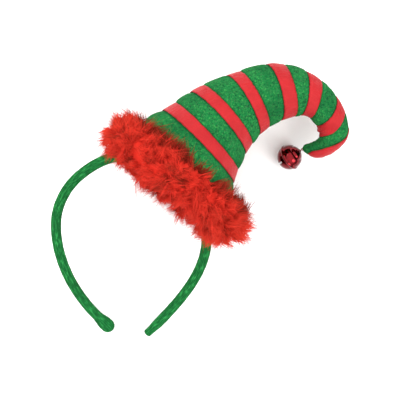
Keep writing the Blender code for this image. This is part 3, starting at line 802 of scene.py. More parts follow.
class Finishes(Enum):
    """The finishes of the headband, by the record's slots, and of the floor."""

    BAND = Velour("band_velour", (0.010, 0.132, 0.029), (0.003, 0.050, 0.012), (0.026, 0.235, 0.056))
    HAT = Felt(
        "hat_felt_green", (0.006, 0.130, 0.030), (0.002, 0.042, 0.014), (0.030, 0.240, 0.048),
        (0.050, 0.170, 0.060),
    )
    PATCH = Felt(
        "patch_felt_green", (0.012, 0.152, 0.034), (0.003, 0.064, 0.019), (0.044, 0.232, 0.052),
        (0.080, 0.184, 0.080), 0.0012,
    )
    RIBBON = Satin("ribbon_satin", (0.375, 0.014, 0.017), (0.250, 0.007, 0.010), (0.430, 0.028, 0.030))
    DOWN = Down(
        "marabou_down", (0.610, 0.029, 0.017), (0.490, 0.018, 0.010), (0.720, 0.052, 0.026),
        (0.120, 0.014, 0.005),
    )
    BELL = Lacquer("bell_lacquer", (0.165, 0.004, 0.007), (0.080, 0.001, 0.003))
    BALL = Steel("ball_steel", (0.336, 0.336, 0.344))
    THREAD = Thread("sewing_thread", (0.240, 0.014, 0.018), (0.096, 0.005, 0.008))
    FLOOR = Paper("studio_paper", (0.970, 0.970, 0.970))


_MADE: dict[str, bpy.types.Material] = {}


def dress(obj: bpy.types.Object, finish: Finishes) -> None:
    """Give an object one finish, in place of any it has.

    Args:
        obj: the object.
        finish: its finish, whose material is made when it is first asked for.
    """
    if finish.name not in _MADE:
        _MADE[finish.name] = finish.value.material()
    slots = obj.data.materials
    slots.clear()
    slots.append(_MADE[finish.name])


def settle_piece(obj: bpy.types.Object, finish: Finishes, slot: str, *nodes: str) -> bpy.types.Object:
    """Dress a piece, let it ride on the part, and report it.

    Args:
        obj: the piece.
        finish: its finish.
        slot: its slot in the record.
        nodes: the CAD nodes that it stands for.

    Returns:
        The piece.
    """
    dress(obj, finish)
    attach(obj, "root")
    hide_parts(*nodes)
    LOG.info("%s: %d faces, %s", obj.name, len(obj.data.polygons), slot)
    return obj


# Places shared by the pieces

class RouteRow(NamedTuple):
    """One place of the band: the mouth and the width count across, the reach along."""

    mouth: float
    width: float
    reach: float


class Section(NamedTuple):
    """One place of the hat: forward and side in hat lengths, the rest in rim measures."""

    forward: float
    side: float
    rise: float
    radius: float
    turn: float


class RibbonRow(NamedTuple):
    """Where a ribbon crosses the curl's outer and inner side, and its spread there."""

    outer: float
    inner: float
    outer_spread: float
    inner_spread: float


class TipRow(NamedTuple):
    """One place of the tip ribbon, with its edges in degrees round the hat."""

    row: float
    upper: float
    lower: float


class Tuft(NamedTuple):
    """A tuft of the boa: its place and spread in degrees, and its extra reach."""

    ring: float
    boa: float
    spread: float
    reach: float


def heading(turn: float, rise: float) -> Array:
    """Return the unit direction at a turn from +X and a rise over the ground."""
    level = math.cos(rise)
    return np.array((level * math.cos(turn), level * math.sin(turn), math.sin(rise)))


@dataclass
class Places:
    """The frame that the pieces share: the hat's axis, the boa's centre, the bell's place."""

    gap: float = 0.0003
    hat_turn: float = math.radians(50.0)
    hat_dip: float = math.radians(4.0)
    boa_ring: float = 0.0480
    boa_radius: float = 0.0200
    boa_squash: float = 0.0120
    boa_below_rim: float = 0.0105
    disc: float = 0.0020
    bell: float = 0.0200
    bell_wall: float = 0.0006
    bell_bead: float = 0.0007
    bell_turn: float = math.radians(32.0)
    bell_tilt: float = math.radians(28.0)
    ball: float = 0.0064
    loop: float = 0.0026
    loop_wire: float = 0.0006
    loop_sink: float = 0.0008
    thread_ring: float = 0.0026
    thread: float = 0.0006

    def __post_init__(self) -> None:
        """Work the places out: the boa lies squashed on the ground, and the bell hangs below the tip.

        The boa's centre is its ring's radius and its own, less the squash, over the ground. The
        bell's reach along its axis is the sum of its loop and its thread.
        """
        self.axis: Array = heading(self.hat_turn, -self.hat_dip)
        self.side: Array = unit(np.cross(self.axis, UP))
        self.top: Array = np.cross(self.side, self.axis)
        height = self.boa_ring * math.cos(self.hat_dip) + self.boa_radius - self.boa_squash
        self.boa_centre: Array = height * UP
        self.rim: Array = self.boa_centre + self.boa_below_rim * self.axis
        self.bell_axis: Array = heading(self.bell_turn, self.bell_tilt)
        self.loop_reach: float = self.bell / 2 - self.loop_sink + self.loop / 2
        threaded = self.loop / 2 - self.loop_wire - self.gap
        self.thread_reach: float = self.loop_reach + threaded - self.thread + self.thread_ring / 2
        self.hang: float = self.thread_reach + self.thread_ring / 2 + self.gap
        self.tip_height: float = self.bell / 2 + self.bell_bead + self.hang * math.sin(self.bell_tilt)

    def shift(self, tip: Array) -> Array:
        """Return the way from this layout to the row frame, by where the CAD holds the bell's ball.

        Args:
            tip: the hat's tip in the layout.

        Returns:
            The shift, to add to each point.
        """
        trapped = (self.bell - self.ball) / 2 - self.bell_wall - self.gap
        ball = tip - self.hang * self.bell_axis - trapped * UP
        low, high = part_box("bell_ball")
        return (np.array(low) + np.array(high)) / 2 - ball


@dataclass
class HatForm:
    """The hat's cone as a surface: a place along it and an angle round it give a point."""

    places: Places
    length: float = 0.190
    rim_radius: float = 0.0465
    tip_cap: float = 0.0008
    sections: tuple[Section, ...] = (
        Section(0.000, 0.000, 1.000, 1.000, 0.0),
        Section(0.067, -0.017, 0.979, 0.925, -2.0),
        Section(0.134, -0.016, 0.959, 0.813, -6.7),
        Section(0.260, -0.014, 0.899, 0.671, -9.1),
        Section(0.390, 0.027, 0.790, 0.544, -23.1),
        Section(0.514, 0.102, 0.653, 0.467, -37.4),
        Section(0.575, 0.205, 0.523, 0.346, -59.5),
        Section(0.560, 0.324, 0.368, 0.299, -89.4),
        Section(0.520, 0.378, 0.264, 0.234, -147.3),
        Section(0.478, 0.386, 0.187, 0.185, -165.3),
        Section(0.447, 0.378, 0.122, 0.157, -184.3),
        Section(0.417, 0.358, 0.065, 0.131, -200.2),
        Section(0.400, 0.338, 0.023, 0.090, -204.7),
        Section(0.393, 0.327, 0.000, 0.040, -212.0),
    )
    ribbons: tuple[RibbonRow, ...] = (
        RibbonRow(2.02, 2.03, 0.88, 1.02),
        RibbonRow(3.00, 3.04, 0.85, 1.02),
        RibbonRow(3.93, 3.96, 0.80, 1.15),
        RibbonRow(4.93, 4.98, 1.00, 1.50),
        RibbonRow(5.95, 5.91, 1.00, 1.20),
        RibbonRow(6.94, 7.40, 0.82, 2.60),
    )
    ribbon_width: float = 0.0105
    spread_late: float = 2.2

    def __post_init__(self) -> None:
        """Turn the sections into centres, radii, turns and dips over the distance along the hat."""
        turn = self.places.hat_turn
        forward, side = heading(turn, 0.0), heading(turn - math.pi / 2, 0.0)
        table = np.array(self.sections)
        centres = self.places.rim + self.length * (table[:, :1] * forward + table[:, 1:2] * side)
        low, rim_height = self.places.tip_height, self.places.rim[2]
        centres[:, 2] = low + table[:, 2] * (rim_height - low)
        self.centres: Array = centres
        self.knots: Array = lengths_to(centres)
        self.end: float = self.knots[-1]
        self.tip: Array = centres[-1] + self.tip_cap * unit(centres[-1] - centres[-2])
        self.radii: Array = table[:, 3] * self.rim_radius
        self.turns: Array = turn + np.radians(table[:, 4])
        self.dips: Array = -np.arcsin(np.clip(np.gradient(centres[:, 2], self.knots), -1.0, 1.0))
        self.dips[0] = self.places.hat_dip

    def place(self, row: Array | float) -> Array:
        """Return the distance along the hat at a row of the sections, or between two."""
        return np.interp(row, np.arange(len(self.knots)), self.knots)

    def radius(self, at: Array) -> Array:
        """Return the cone's radius at a distance along it."""
        return smooth_table(self.knots, self.radii, at)

    def point(self, at: Array, angle: Array, lift: Array | float = 0.0) -> Array:
        """Return surface points: the centre, and the radius times cos outwards and sin upwards.

        Args:
            at: distances along the hat.
            angle: 0 is the curl's outer side, 90 degrees its top.
            lift: how far off the surface.

        Returns:
            The points.
        """
        at, angle = np.broadcast_arrays(np.asarray(at, float), np.asarray(angle, float))
        turn, dip = smooth_table(self.knots, self.turns, at), smooth_table(self.knots, self.dips, at)
        outer = np.stack((-np.sin(turn), np.cos(turn), np.zeros_like(turn)), axis=-1)
        top = np.stack((np.sin(dip) * np.cos(turn), np.sin(dip) * np.sin(turn), np.cos(dip)), axis=-1)
        reach = self.radius(at) + lift
        return smooth_table(self.knots, self.centres, at) + reach[..., None] * spokes(angle, outer, top)

    def edges(self, ribbon: RibbonRow, angle: Array) -> tuple[Array, Array]:
        """Return where a ribbon starts and ends along the hat, at each angle round it.

        Args:
            ribbon: the ribbon's row.
            angle: angles round the hat.

        Returns:
            The two distances. The middle goes from the outer side's to the inner side's by
            (1 - cos) / 2, and the width by a power of that.
        """
        inner = (1 - np.cos(angle)) / 2
        late = inner**self.spread_late
        middle = (1 - inner) * self.place(ribbon.outer) + inner * self.place(ribbon.inner)
        half = ((1 - late) * ribbon.outer_spread + late * ribbon.inner_spread) * self.ribbon_width / 2
        return middle - half, middle + half


@dataclass
class BandForm:
    """The band's centre line, which lies in one sloping plane and touches the hat's disc."""

    places: Places
    diameter: float = 0.0077
    width: float = 0.1212
    reach: float = 0.1481
    mouth: float = 0.0334
    turn: float = math.radians(80.6)
    left_end: tuple[float, float] = (0.0118, 0.0130)
    right_end: tuple[float, float] = (0.0053, 0.0150)
    seat_row: float = 8.94
    settling: int = 12
    route: tuple[RouteRow, ...] = (
        RouteRow(-0.50, 0.000, 0.000),
        RouteRow(-0.30, -0.206, 0.103),
        RouteRow(-0.10, -0.447, 0.294),
        RouteRow(0.00, -0.571, 0.552),
        RouteRow(0.00, -0.536, 0.710),
        RouteRow(0.00, -0.469, 0.833),
        RouteRow(0.00, -0.2855, 0.972),
        RouteRow(0.00, -0.122, 1.000),
        RouteRow(0.00, 0.032, 0.986),
        RouteRow(0.00, 0.182, 0.929),
        RouteRow(0.00, 0.307, 0.833),
        RouteRow(0.00, 0.389, 0.712),
        RouteRow(0.00, 0.429, 0.505),
        RouteRow(0.10, 0.3125, 0.276),
        RouteRow(0.40, 0.0877, 0.075),
        RouteRow(0.50, 0.000, 0.000),
    )

    def __post_init__(self) -> None:
        """Settle the slope step by step: the ends lie on the ground, and the seat meets the disc."""
        table = np.array(self.route)
        sideways = table[:, 0] * self.mouth + table[:, 1] * self.width
        self.flat: Array = np.column_stack((sideways, table[:, 2] * self.reach))
        self.rows: Array = np.arange(len(self.flat))
        radius, axis = self.diameter / 2, self.places.axis
        self.across: Array = heading(self.turn - math.pi / 2, 0.0)
        along = heading(self.turn, 0.0)
        seat_flat = smooth_table(self.rows, self.flat, [self.seat_row])[0]
        samples = smooth_table(self.rows, self.flat, np.linspace(self.seat_row - 2, self.seat_row + 2, 41))
        ends = (unit(self.flat[1] - self.flat[0]), unit(self.flat[-2] - self.flat[-1]))
        halves = (self.left_end[0] / 2, self.right_end[0] / 2)
        under = self.places.disc + 2 * self.places.gap
        drop, end_height = radius + under, radius
        for _ in range(self.settling):
            seat = self.places.rim - drop * axis
            slope = math.asin((seat[2] - end_height) / seat_flat[1])
            self.up: Array = math.cos(slope) * along + math.sin(slope) * UP
            near = (samples - seat_flat) @ np.array((self.across, self.up))
            drop = radius + under + max(near @ axis)
            tilts = [half * abs(end[0]) * math.sin(slope) for half, end in zip(halves, ends)]
            end_height = math.hypot(radius * math.cos(slope), max(tilts))
        self.normal: Array = np.cross(self.across, self.up)
        self.start: Array = seat - seat_flat @ np.array((self.across, self.up))

    def line(self, at: Array) -> Array:
        """Return the centre line at rows of the route."""
        return self.start + smooth_table(self.rows, self.flat, at) @ np.array((self.across, self.up))


# Pieces

@dataclass
class HeadbandCover:
    """The padded band in its close pile cover."""

    form: BandForm
    shift: Array
    samples: int = 2400
    steps: int = 420
    columns: int = 40
    seam_angle: float = math.radians(-62.0)
    seam_depth: float = 0.00040
    seam_spread: float = 0.13
    slack: float = 0.00005
    nap: float = 0.0003
    relax: int = 95
    seat_reach: float = 1.4
    seat_fade: float = 0.8
    bulb_past: float = 0.0018
    bulb_full: float = 0.0030
    neck_short: float = 0.0010
    cut_past: float = 0.0019
    cut_width: float = 0.0060
    cut_squash: float = 0.14
    cut_fillet: float = 0.0011

    def relaxed(self, line: Array) -> Array:
        """Take the kinks out of a line: twice its moving average, less that one's average.

        Args:
            line: points, evenly spaced in the route's rows.

        Returns:
            As many points. The average's weights are a bell curve.
        """
        reach = 3 * self.relax
        weights = np.exp(-0.5 * (np.arange(-reach, reach + 1) / self.relax) ** 2)
        weights /= weights.sum()
        averages = [line]
        for _ in range(2):
            last = averages[-1]
            ends = (2 * last[0] - last[reach:0:-1], 2 * last[-1] - last[-2:-reach - 2:-1])
            longer = np.concatenate((ends[0], last, ends[1])).T
            averages.append(np.stack([np.convolve(row, weights, "valid") for row in longer], axis=1))
        return 2 * averages[1] - averages[2]

    def centre_line(self) -> tuple[Array, Array, Array]:
        """Lay out the band's centre line, relaxed except where the hat sits.

        Returns:
            Distances along it, its points and its unit tangents.
        """
        form = self.form
        rows = np.linspace(0, len(form.route) - 1, self.samples)
        line = form.line(rows)
        free = ease((np.abs(rows - form.seat_row) - self.seat_reach) / self.seat_fade)[:, None]
        line += free * (self.relaxed(line) - line)
        return lengths_to(line), line, unit(np.gradient(line, axis=0))

    def outline(self, along: Array, total: float) -> tuple[Array, Array, Array]:
        """Work out the profile's size: a round bulb and its eased neck, then a narrowing to the cut.

        Args:
            along: distances along the band, below zero at the bulb's end.
            total: the length of the centre line.

        Returns:
            Its half width, its half height and how far the cut's fillet takes both in.
        """
        form, half = self.form, self.form.diameter / 2
        bulb, start = form.left_end[0] / 2, half + self.bulb_past
        neck = ease((along - self.bulb_full) / (form.left_end[1] - self.bulb_full - self.neck_short))
        to_right = ease((along - total + form.right_end[1]) / form.right_end[1])
        wide = bulb + neck * (half + self.nap - bulb) + to_right * (self.cut_width / 2 - half)
        tall = half * (1 - self.cut_squash * to_right)
        wide = wide - rounded(bulb, bulb - start - along)
        tall = tall - rounded(half, half - start - along)
        return wide, tall, rounded(self.cut_fillet, along - total - self.cut_past + self.cut_fillet)

    def padding(self, along: Array, angles: Array) -> Array:
        """Work out how far the cover stands off its profile.

        Args:
            along: distances along the band.
            angles: angles round it.

        Returns:
            Ripples and creases of less than 0.2 mm, less the groove along the seam.
        """
        loose = ripple(along[:, None] * 45, angles[None], 3, 8, 3.0)
        creases = ripple(along[:, None] * 260, angles[None], 5, 6, 2.0) * 0.4
        groove = bell_curve(turned_from(angles, self.seam_angle), self.seam_spread)[None]
        return self.slack * (loose + creases) - self.seam_depth * groove

    def build(self) -> bpy.types.Object:
        """Build the cover: an oval profile carried along the band.

        Its left end is a round bulb and its right end is cut square with a small fillet. Nothing
        reaches below the ground.

        Returns:
            The band.
        """
        form, half, fillet = self.form, self.form.diameter / 2, self.cut_fillet
        went, line, tangents = self.centre_line()
        bulb, start, total = form.left_end[0] / 2, half + self.bulb_past, went[-1]
        cut = total + self.cut_past
        bend = np.linspace(0, math.pi / 2, 15)[1:]
        along = np.concatenate((
            bulb * (1 - np.cos(bend)) - start,
            np.linspace(bulb - start, cut - fillet, self.steps)[1:],
            cut - fillet + fillet * np.sin(bend[::2]),
        ))
        inside = np.clip(along, 0, total)
        ways = unit(on_line(inside, went, tangents))
        centre = on_line(inside, went, line) + (along - inside)[:, None] * ways
        wide, tall, corner = self.outline(along, total)
        angles = full_turn(self.columns)
        lift = self.padding(along, angles) * ease(tall / half)[:, None]
        across = ((wide - corner)[:, None] + lift) * np.cos(angles)
        above = ((tall - corner)[:, None] + lift) * np.sin(angles)
        sideways = unit(np.cross(ways, form.normal))
        rings = centre[:, None] + across[..., None] * sideways[:, None] + above[..., None] * form.normal
        rings[..., 2] = np.maximum(rings[..., 2], 0.0)
        poles = (line[0] - start * ways[0] + self.shift, centre[-1] + self.shift)
        skin = Skin()
        skin.rings(rings + self.shift, along, spread(self.columns, TURN * half), poles=poles)
        band = skin.build("headband_cover")
        return settle_piece(band, Finishes.BAND, "band_felt", "headband")


@dataclass
class HatCover:
    """The stuffed felt cone, with its seam, its puffs between the ribbons and its creases.

    The girth is how far its map goes round it, here and in the pieces below.
    """

    form: HatForm
    shift: Array
    columns: int = 96
    between: int = 9
    under: int = 6
    tip_rows: int = 34
    tip_free: float = 0.3
    least: float = 0.0004
    puff: float = 0.0005
    pinch: float = -0.0010
    lump: float = 0.00032
    crease: float = 0.0007
    pucker: float = 0.00018
    seam_angle: float = math.radians(268.0)
    seam_depth: float = 0.0006
    seam_spread: float = 0.0011
    # how quickly the painted shade beside each ribbon fades
    fold_shade_fade: float = 0.0004
    wall: float = 0.0018
    most_move: float = 0.0004
    frames: int = 20
    girth: float = 0.144

    def grid(self) -> tuple[Array, Array, Array, Array]:
        """Lay out the rows: some between each two ribbons, some under each, and the tip's.

        Returns:
            Distances along the hat, angles round it, the puff and how firmly each row is held.
        """
        angles, level = full_turn(self.columns), np.ones(self.columns)
        start = np.zeros(self.columns)
        at, puffs, held = [start], [np.zeros(self.columns)], [1.0]
        for ribbon in self.form.ribbons:
            low, high = self.form.edges(ribbon, angles)
            low = np.maximum(low, start + self.least)
            for share in np.linspace(0, 1, self.between + 2)[1:-1]:
                at.append(start + share * (low - start))
                puffs.append(level * self.puff * math.sin(math.pi * share) ** 0.8)
                held.append(0.0)
            for share in np.linspace(0, 1, self.under):
                at.append(low + share * (high - low))
                puffs.append(level * self.pinch * (1 + 0.6 * math.sin(math.pi * share)))
                held.append(1.0)
            start = high
        for share in np.linspace(0, 1, self.tip_rows + 1)[1:]:
            at.append(start + share * (self.form.end - start))
            puffs.append(level * self.puff * 0.4 * min(1.0, 6 * share) * (1 - share))
            held.append(float(ease((share - self.tip_free) / self.tip_free)))
        angles = np.broadcast_to(angles, (len(at), self.columns))
        return np.array(at), angles, np.array(puffs), np.array(held)

    def relief(self, at: Array, angles: Array, puffs: Array) -> Array:
        """Work out how far the felt stands off the form.

        The filling's lumps are wide sines. The creases are narrow sines along the cone, deepest on
        the curl's inner side. The felt puckers under the ribbons, and a groove follows the seam.

        Args:
            at: distances along the hat.
            angles: angles round it.
            puffs: how far it is puffed out or pinched in.

        Returns:
            The lift, which is nothing at the rim.
        """
        loose = np.abs(puffs - self.pinch) / (self.puff - self.pinch)
        lumps = self.lump * ripple(at * 26, angles, 11, 9, 2.2)
        inner = ((1 - np.cos(angles)) / 2) ** 2 * ease((at - self.form.place(4)) / 0.04)
        creases = -self.crease * np.abs(ripple(at * 120, np.ones_like(angles), 17, 5, 2.0)) * inner
        gathers = np.sin(angles * 31 + 2 * np.sin(angles * 5)) * self.pucker * (1 - loose) * (at > 0.001)
        off = turned_from(angles, self.seam_angle) * self.form.radius(at)
        seam = -self.seam_depth * bell_curve(off, self.seam_spread)
        lift = puffs + (lumps + creases) * np.clip(loose, 0, 1) + gathers + seam
        lift[0] = 0.0
        return lift

    def build(self) -> bpy.types.Object:
        """Build the cone: the form's surface lifted by its relief, pressed out and thickened.

        Returns:
            The felt cone.
        """
        at, angles, puffs, held = self.grid()
        rings = self.form.point(at, angles, self.relief(at, angles, puffs))
        skin = Skin()
        skin.rings(rings + self.shift, at[:, 0], spread(self.columns, self.girth),
                   poles=(None, self.form.tip + self.shift))
        hat = skin.build("hat_cone_felt", outward=False)
        self.inflate(hat, np.append(np.repeat(held, self.columns), 1.0))
        # painted shade beside each ribbon, strongest where the felt is pinched in
        fold_shades = np.exp(-np.clip(puffs - self.pinch, 0, 1) / self.fold_shade_fade)
        give_values(hat, "fold_shade", np.append(fold_shades, 0.0))
        self.thicken(hat)
        return settle_piece(hat, Finishes.HAT, "hat_felt", "hat_cone")

    def inflate(self, hat: bpy.types.Object, held: Array) -> None:
        """Let the filling press the felt out between the ribbons, as cloth under pressure.

        Args:
            hat: the cone, one layer.
            held: how firmly each vertex is held, from 0 to 1. No point moves further than the cap.
        """
        before = points_of(hat.data)
        group = hat.vertex_groups.new(name="held")
        for level in np.unique(held):
            group.add(np.flatnonzero(held == level).tolist(), float(level), "REPLACE")
        cloth = hat.modifiers.new("filling", "CLOTH")
        for name, value in FILLED_FELT.items():
            setattr(cloth.settings, name, value)
        cloth.settings.effector_weights.gravity = 0.0
        cloth.collision_settings.use_collision = False
        cloth.collision_settings.use_self_collision = False
        cloth.point_cache.frame_start, cloth.point_cache.frame_end = 1, self.frames
        scene = bpy.context.scene
        for number in range(1, self.frames + 1):
            scene.frame_set(number)
        moved = points_of(shown_mesh(hat)) - before
        hat.modifiers.clear()
        hat.vertex_groups.clear()
        scene.frame_set(1)
        far = np.linalg.norm(moved, axis=1, keepdims=True)
        moved *= self.most_move * np.tanh(far / self.most_move) / np.maximum(far, TINY)
        hat.data.vertices.foreach_set("co", (before + moved).astype(np.float32).ravel())
        LOG.info("filling pressed the felt out by up to %.2f mm", 1000 * far.max())

    def thicken(self, hat: bpy.types.Object) -> None:
        """Give the felt its thickness, inwards, and round it off.

        Args:
            hat: the cone, one layer.
        """
        wall = hat.modifiers.new("wall", "SOLIDIFY")
        wall.thickness, wall.offset, wall.use_even_offset = self.wall, -1.0, False
        apply_modifiers(hat)
        smooth = hat.modifiers.new("smooth", "SUBSURF")
        smooth.levels = smooth.render_levels = 1
        apply_modifiers(hat)


@dataclass
class Ribbons:
    """The woven bands round the cone, and the strip along its tip."""

    form: HatForm
    shift: Array
    thickness: float = 0.0005
    columns: int = 220
    across: int = 9
    crown: float = 0.00022
    waver: float = 0.00012
    wave: float = 0.00011
    lap_angle: float = math.radians(262.0)
    lap_turn: float = 0.2
    lap_half: float = 0.16
    lap_fade: float = 0.02
    lap: float = 0.0005
    tip_steps: int = 70
    tip_lift: float = 0.0009
    tip_low: float = 0.35
    tip_ease: int = 9
    tip_rows: tuple[TipRow, ...] = (
        TipRow(7.75, 8.0, -12.0),
        TipRow(8.30, 48.0, -36.0),
        TipRow(9.00, 78.0, -44.0),
        TipRow(10.00, 86.0, -48.0),
        TipRow(11.00, 84.0, -50.0),
        TipRow(11.80, 62.0, -44.0),
    )

    def profile(self) -> tuple[Array, Array, Array]:
        """Lay out the ribbon's cross-section: the sine of the share outside and flat inside.

        Returns:
            Shares of its width, lifts off the cone and distances round the section.
        """
        outer = np.linspace(0, 1, self.across)
        share = np.concatenate((outer, outer[::-1]))
        crown = self.crown * np.sin(math.pi * outer) ** 0.5
        lift = np.concatenate((crown, np.full(self.across, -self.thickness)))
        return share, lift, np.concatenate((outer, 1 + outer, [2.0])) * self.form.ribbon_width

    def build(self) -> list[bpy.types.Object]:
        """Build the six bands and the tip's strip.

        Returns:
            The pieces.
        """
        bands = [self.build_band(number, row) for number, row in enumerate(self.form.ribbons, start=1)]
        return bands + [self.build_tip()]

    def build_band(self, number: int, ribbon: RibbonRow) -> bpy.types.Object:
        """Build one band: the profile carried round the cone along the ribbon's own edges.

        Where its ends lap, the band is a thickness higher on an eased step. Its edges wander by a
        tenth of a millimetre, and small waves of the cloth run across it.

        Args:
            number: the band's number, from the rim.
            ribbon: its row.

        Returns:
            The band.
        """
        share, lift, around = self.profile()
        angles = full_turn(self.columns)
        low, high = self.form.edges(ribbon, angles)
        low = low + self.waver * ripple(angles * 2, angles * 0, 30 + number, 5, 3.0)
        high = high + self.waver * ripple(angles * 2, angles * 0, 50 + number, 5, 3.0)
        at = low[:, None] + share[None] * (high - low)[:, None]
        off = turned_from(angles, self.lap_angle + self.lap_turn * number)
        start, stop = (ease((off + way * self.lap_half) / self.lap_fade) for way in (1, -1))
        lap = start * (1 - stop)
        waves = self.wave * ripple(angles[:, None] * 9, share[None] * 2, 70 + number, 7, 4.0)
        outer = (lift > -self.thickness / 2)[None]
        lifts = lift[None] + np.where(outer, self.lap * lap[:, None] + waves, 0.0)
        rings = self.form.point(at, np.broadcast_to(angles[:, None], at.shape), lifts)
        along = lengths_to(np.concatenate((rings[:, 0], rings[:1, 0])))
        skin = Skin()
        skin.rings(rings + self.shift, along, around, closed=True)
        band = skin.build(f"satin_band_{number}")
        return settle_piece(band, Finishes.RIBBON, "satin", f"ribbon_{number}")

    def build_tip(self) -> bpy.types.Object:
        """Build the strip along the tip: the profile between its two edges, row by row.

        Its middle stands further off the felt than its ends.

        Returns:
            The strip.
        """
        share, lift, around = self.profile()
        rows = np.linspace(self.tip_rows[0].row, self.tip_rows[-1].row, self.tip_steps)
        table = np.radians([(r.upper, r.lower) for r in self.tip_rows])
        upper, lower = smooth_table([r.row for r in self.tip_rows], table, rows).T
        at = self.form.place(rows)
        angle = lower[:, None] + share[None] * (upper - lower)[:, None]
        steps = np.arange(self.tip_steps)
        inner = ease(np.minimum(steps, steps[::-1]) / self.tip_ease)
        off = self.tip_lift * (self.tip_low + (1 - self.tip_low) * inner) + self.thickness
        waves = self.wave * 0.9 * ripple(at[:, None] * 160, share[None] * 3, 91, 7, 2.0)
        lifts = lift[None] + off[:, None] + waves
        rings = self.form.point(np.broadcast_to(at[:, None], angle.shape), angle, lifts)
        skin = Skin()
        skin.rings(rings + self.shift, at, around, flat_ends=True)
        return settle_piece(skin.build("satin_tip_strip"), Finishes.RIBBON, "satin", "tip_ribbon")


@dataclass
class BaseDisc:
    """The felt disc that closes the hat, whip-stitched round its edge."""

    form: HatForm
    shift: Array
    thickness: float = 0.0020
    columns: int = 180
    rows: int = 12
    stitches: int = 60
    stitch_pull: float = 0.0004
    stitch_squeeze: float = 0.35
    lump: float = 0.00018
    girth: float = 0.288

    def build(self) -> bpy.types.Object:
        """Build the disc: a flat rounded profile turned round the hat's axis.

        The edge comes in and thins a little at each stitch, by the cosine of the angle times the
        stitches.

        Returns:
            The disc.
        """
        places, radius, half = self.form.places, self.form.rim_radius, self.thickness / 2
        bend = np.linspace(-math.pi / 2, math.pi / 2, 7)
        inner = np.linspace(0.08, 0.97, self.rows) * radius
        radii = np.concatenate((inner, radius - half * (1 - np.cos(bend)), inner[::-1]))
        heights = np.concatenate((np.full(self.rows, -half), half * np.sin(bend), np.full(self.rows, half)))
        angles = full_turn(self.columns)
        stitch = ease((radii / radius - 0.9) / 0.1)[:, None] * (0.5 + 0.5 * np.cos(self.stitches * angles))
        lumps = self.lump * ripple(radii[:, None] * 40, angles[None], 21, 7, 2.0)
        lumps = np.minimum(lumps * np.sign(heights)[:, None], 0.0)
        rise = heights[:, None] * (1 - self.stitch_squeeze * stitch) + lumps
        centre = places.rim - (places.gap + half) * places.axis + self.shift
        reach = (radii[:, None] - self.stitch_pull * stitch)[..., None]
        rings = centre + reach * spokes(angles, places.side, places.top) + rise[..., None] * places.axis
        poles = [centre + height * places.axis for height in (-half, half)]
        skin = Skin()
        skin.rings(rings, radii, spread(self.columns, self.girth), poles=poles)
        return settle_piece(skin.build("hat_base_felt"), Finishes.HAT, "hat_felt", "base_disc")


@dataclass
class SeatPatch:
    """The felt patch that holds the band to the hat."""

    form: BandForm
    shift: Array
    length: float = 0.0220
    width: float = 0.0300
    thickness: float = 0.0015
    steps: int = 45
    wing_steps: int = 9
    wing_start: float = 0.0004
    skimmed: float = 0.0002
    bow_steps: int = 40
    bow_past: float = math.radians(14)
    girth: float = 0.1
    near: float = 1.6

    def build(self) -> bpy.types.Object:
        """Build the patch: a strip bowed over the band, carried along it.

        Its outer line is a wing, an arc round the band and a wing, and its inner line keeps a
        thickness away from that.

        Returns:
            The patch.
        """
        form, places = self.form, self.form.places
        axis, thick = places.axis, self.thickness
        step = np.diff(form.line(np.array((form.seat_row - 0.05, form.seat_row + 0.05))), axis=0)[0]
        along = unit(step - (step @ axis) * axis)
        across = np.cross(axis, along)
        seat = form.line(np.array([form.seat_row]))[0]
        top = (places.rim - (places.disc + places.gap) * axis - seat) @ axis - places.gap
        line = form.line(np.linspace(form.seat_row - self.near, form.seat_row + self.near, 400)) - seat
        order = np.argsort(line @ along)
        ends = np.linspace(-self.length / 2, self.length / 2, self.steps)
        middles = [np.interp(ends, (line @ along)[order], (line @ way)[order]) for way in (across, axis)]
        inner_bow = form.diameter / 2 + places.gap
        wing = np.linspace(self.width / 2, inner_bow + thick + self.wing_start, self.wing_steps)
        turn = np.linspace(self.bow_past, -math.pi - self.bow_past, self.bow_steps)
        bow = np.column_stack((np.cos(turn), np.sin(turn)))
        right = np.column_stack((wing, np.full(len(wing), top - thick)))
        left = (right * (-1, 1))[::-1]
        rings = []
        for middle, end in zip(np.transpose(middles), ends):
            outer_arc, inner_arc = middle + (inner_bow + thick) * bow, middle + inner_bow * bow
            outer_arc[:, 1] = np.minimum(outer_arc[:, 1], top - thick)
            inner_arc[:, 1] = np.minimum(inner_arc[:, 1], top - self.skimmed)
            inner = np.concatenate((right + (0, thick), inner_arc, left + (0, thick)))
            flat = np.concatenate((right, outer_arc, left, inner[::-1]))
            rings.append(seat + end * along + flat @ np.array((across, axis)))
        skin = Skin()
        skin.rings(np.array(rings) + self.shift, ends, spread(len(rings[0]), self.girth), flat_ends=True)
        return settle_piece(skin.build("seat_patch_felt"), Finishes.PATCH, "hat_felt", "seat_patch")


class Locks(NamedTuple):
    """The locks of down: places in the ring and round the boa, drifts, and their looks."""

    ring: Array
    boa: Array
    fringe: Array
    drift_ring: Array
    drift_boa: Array
    gather: Array
    tone: Array
    size: Array


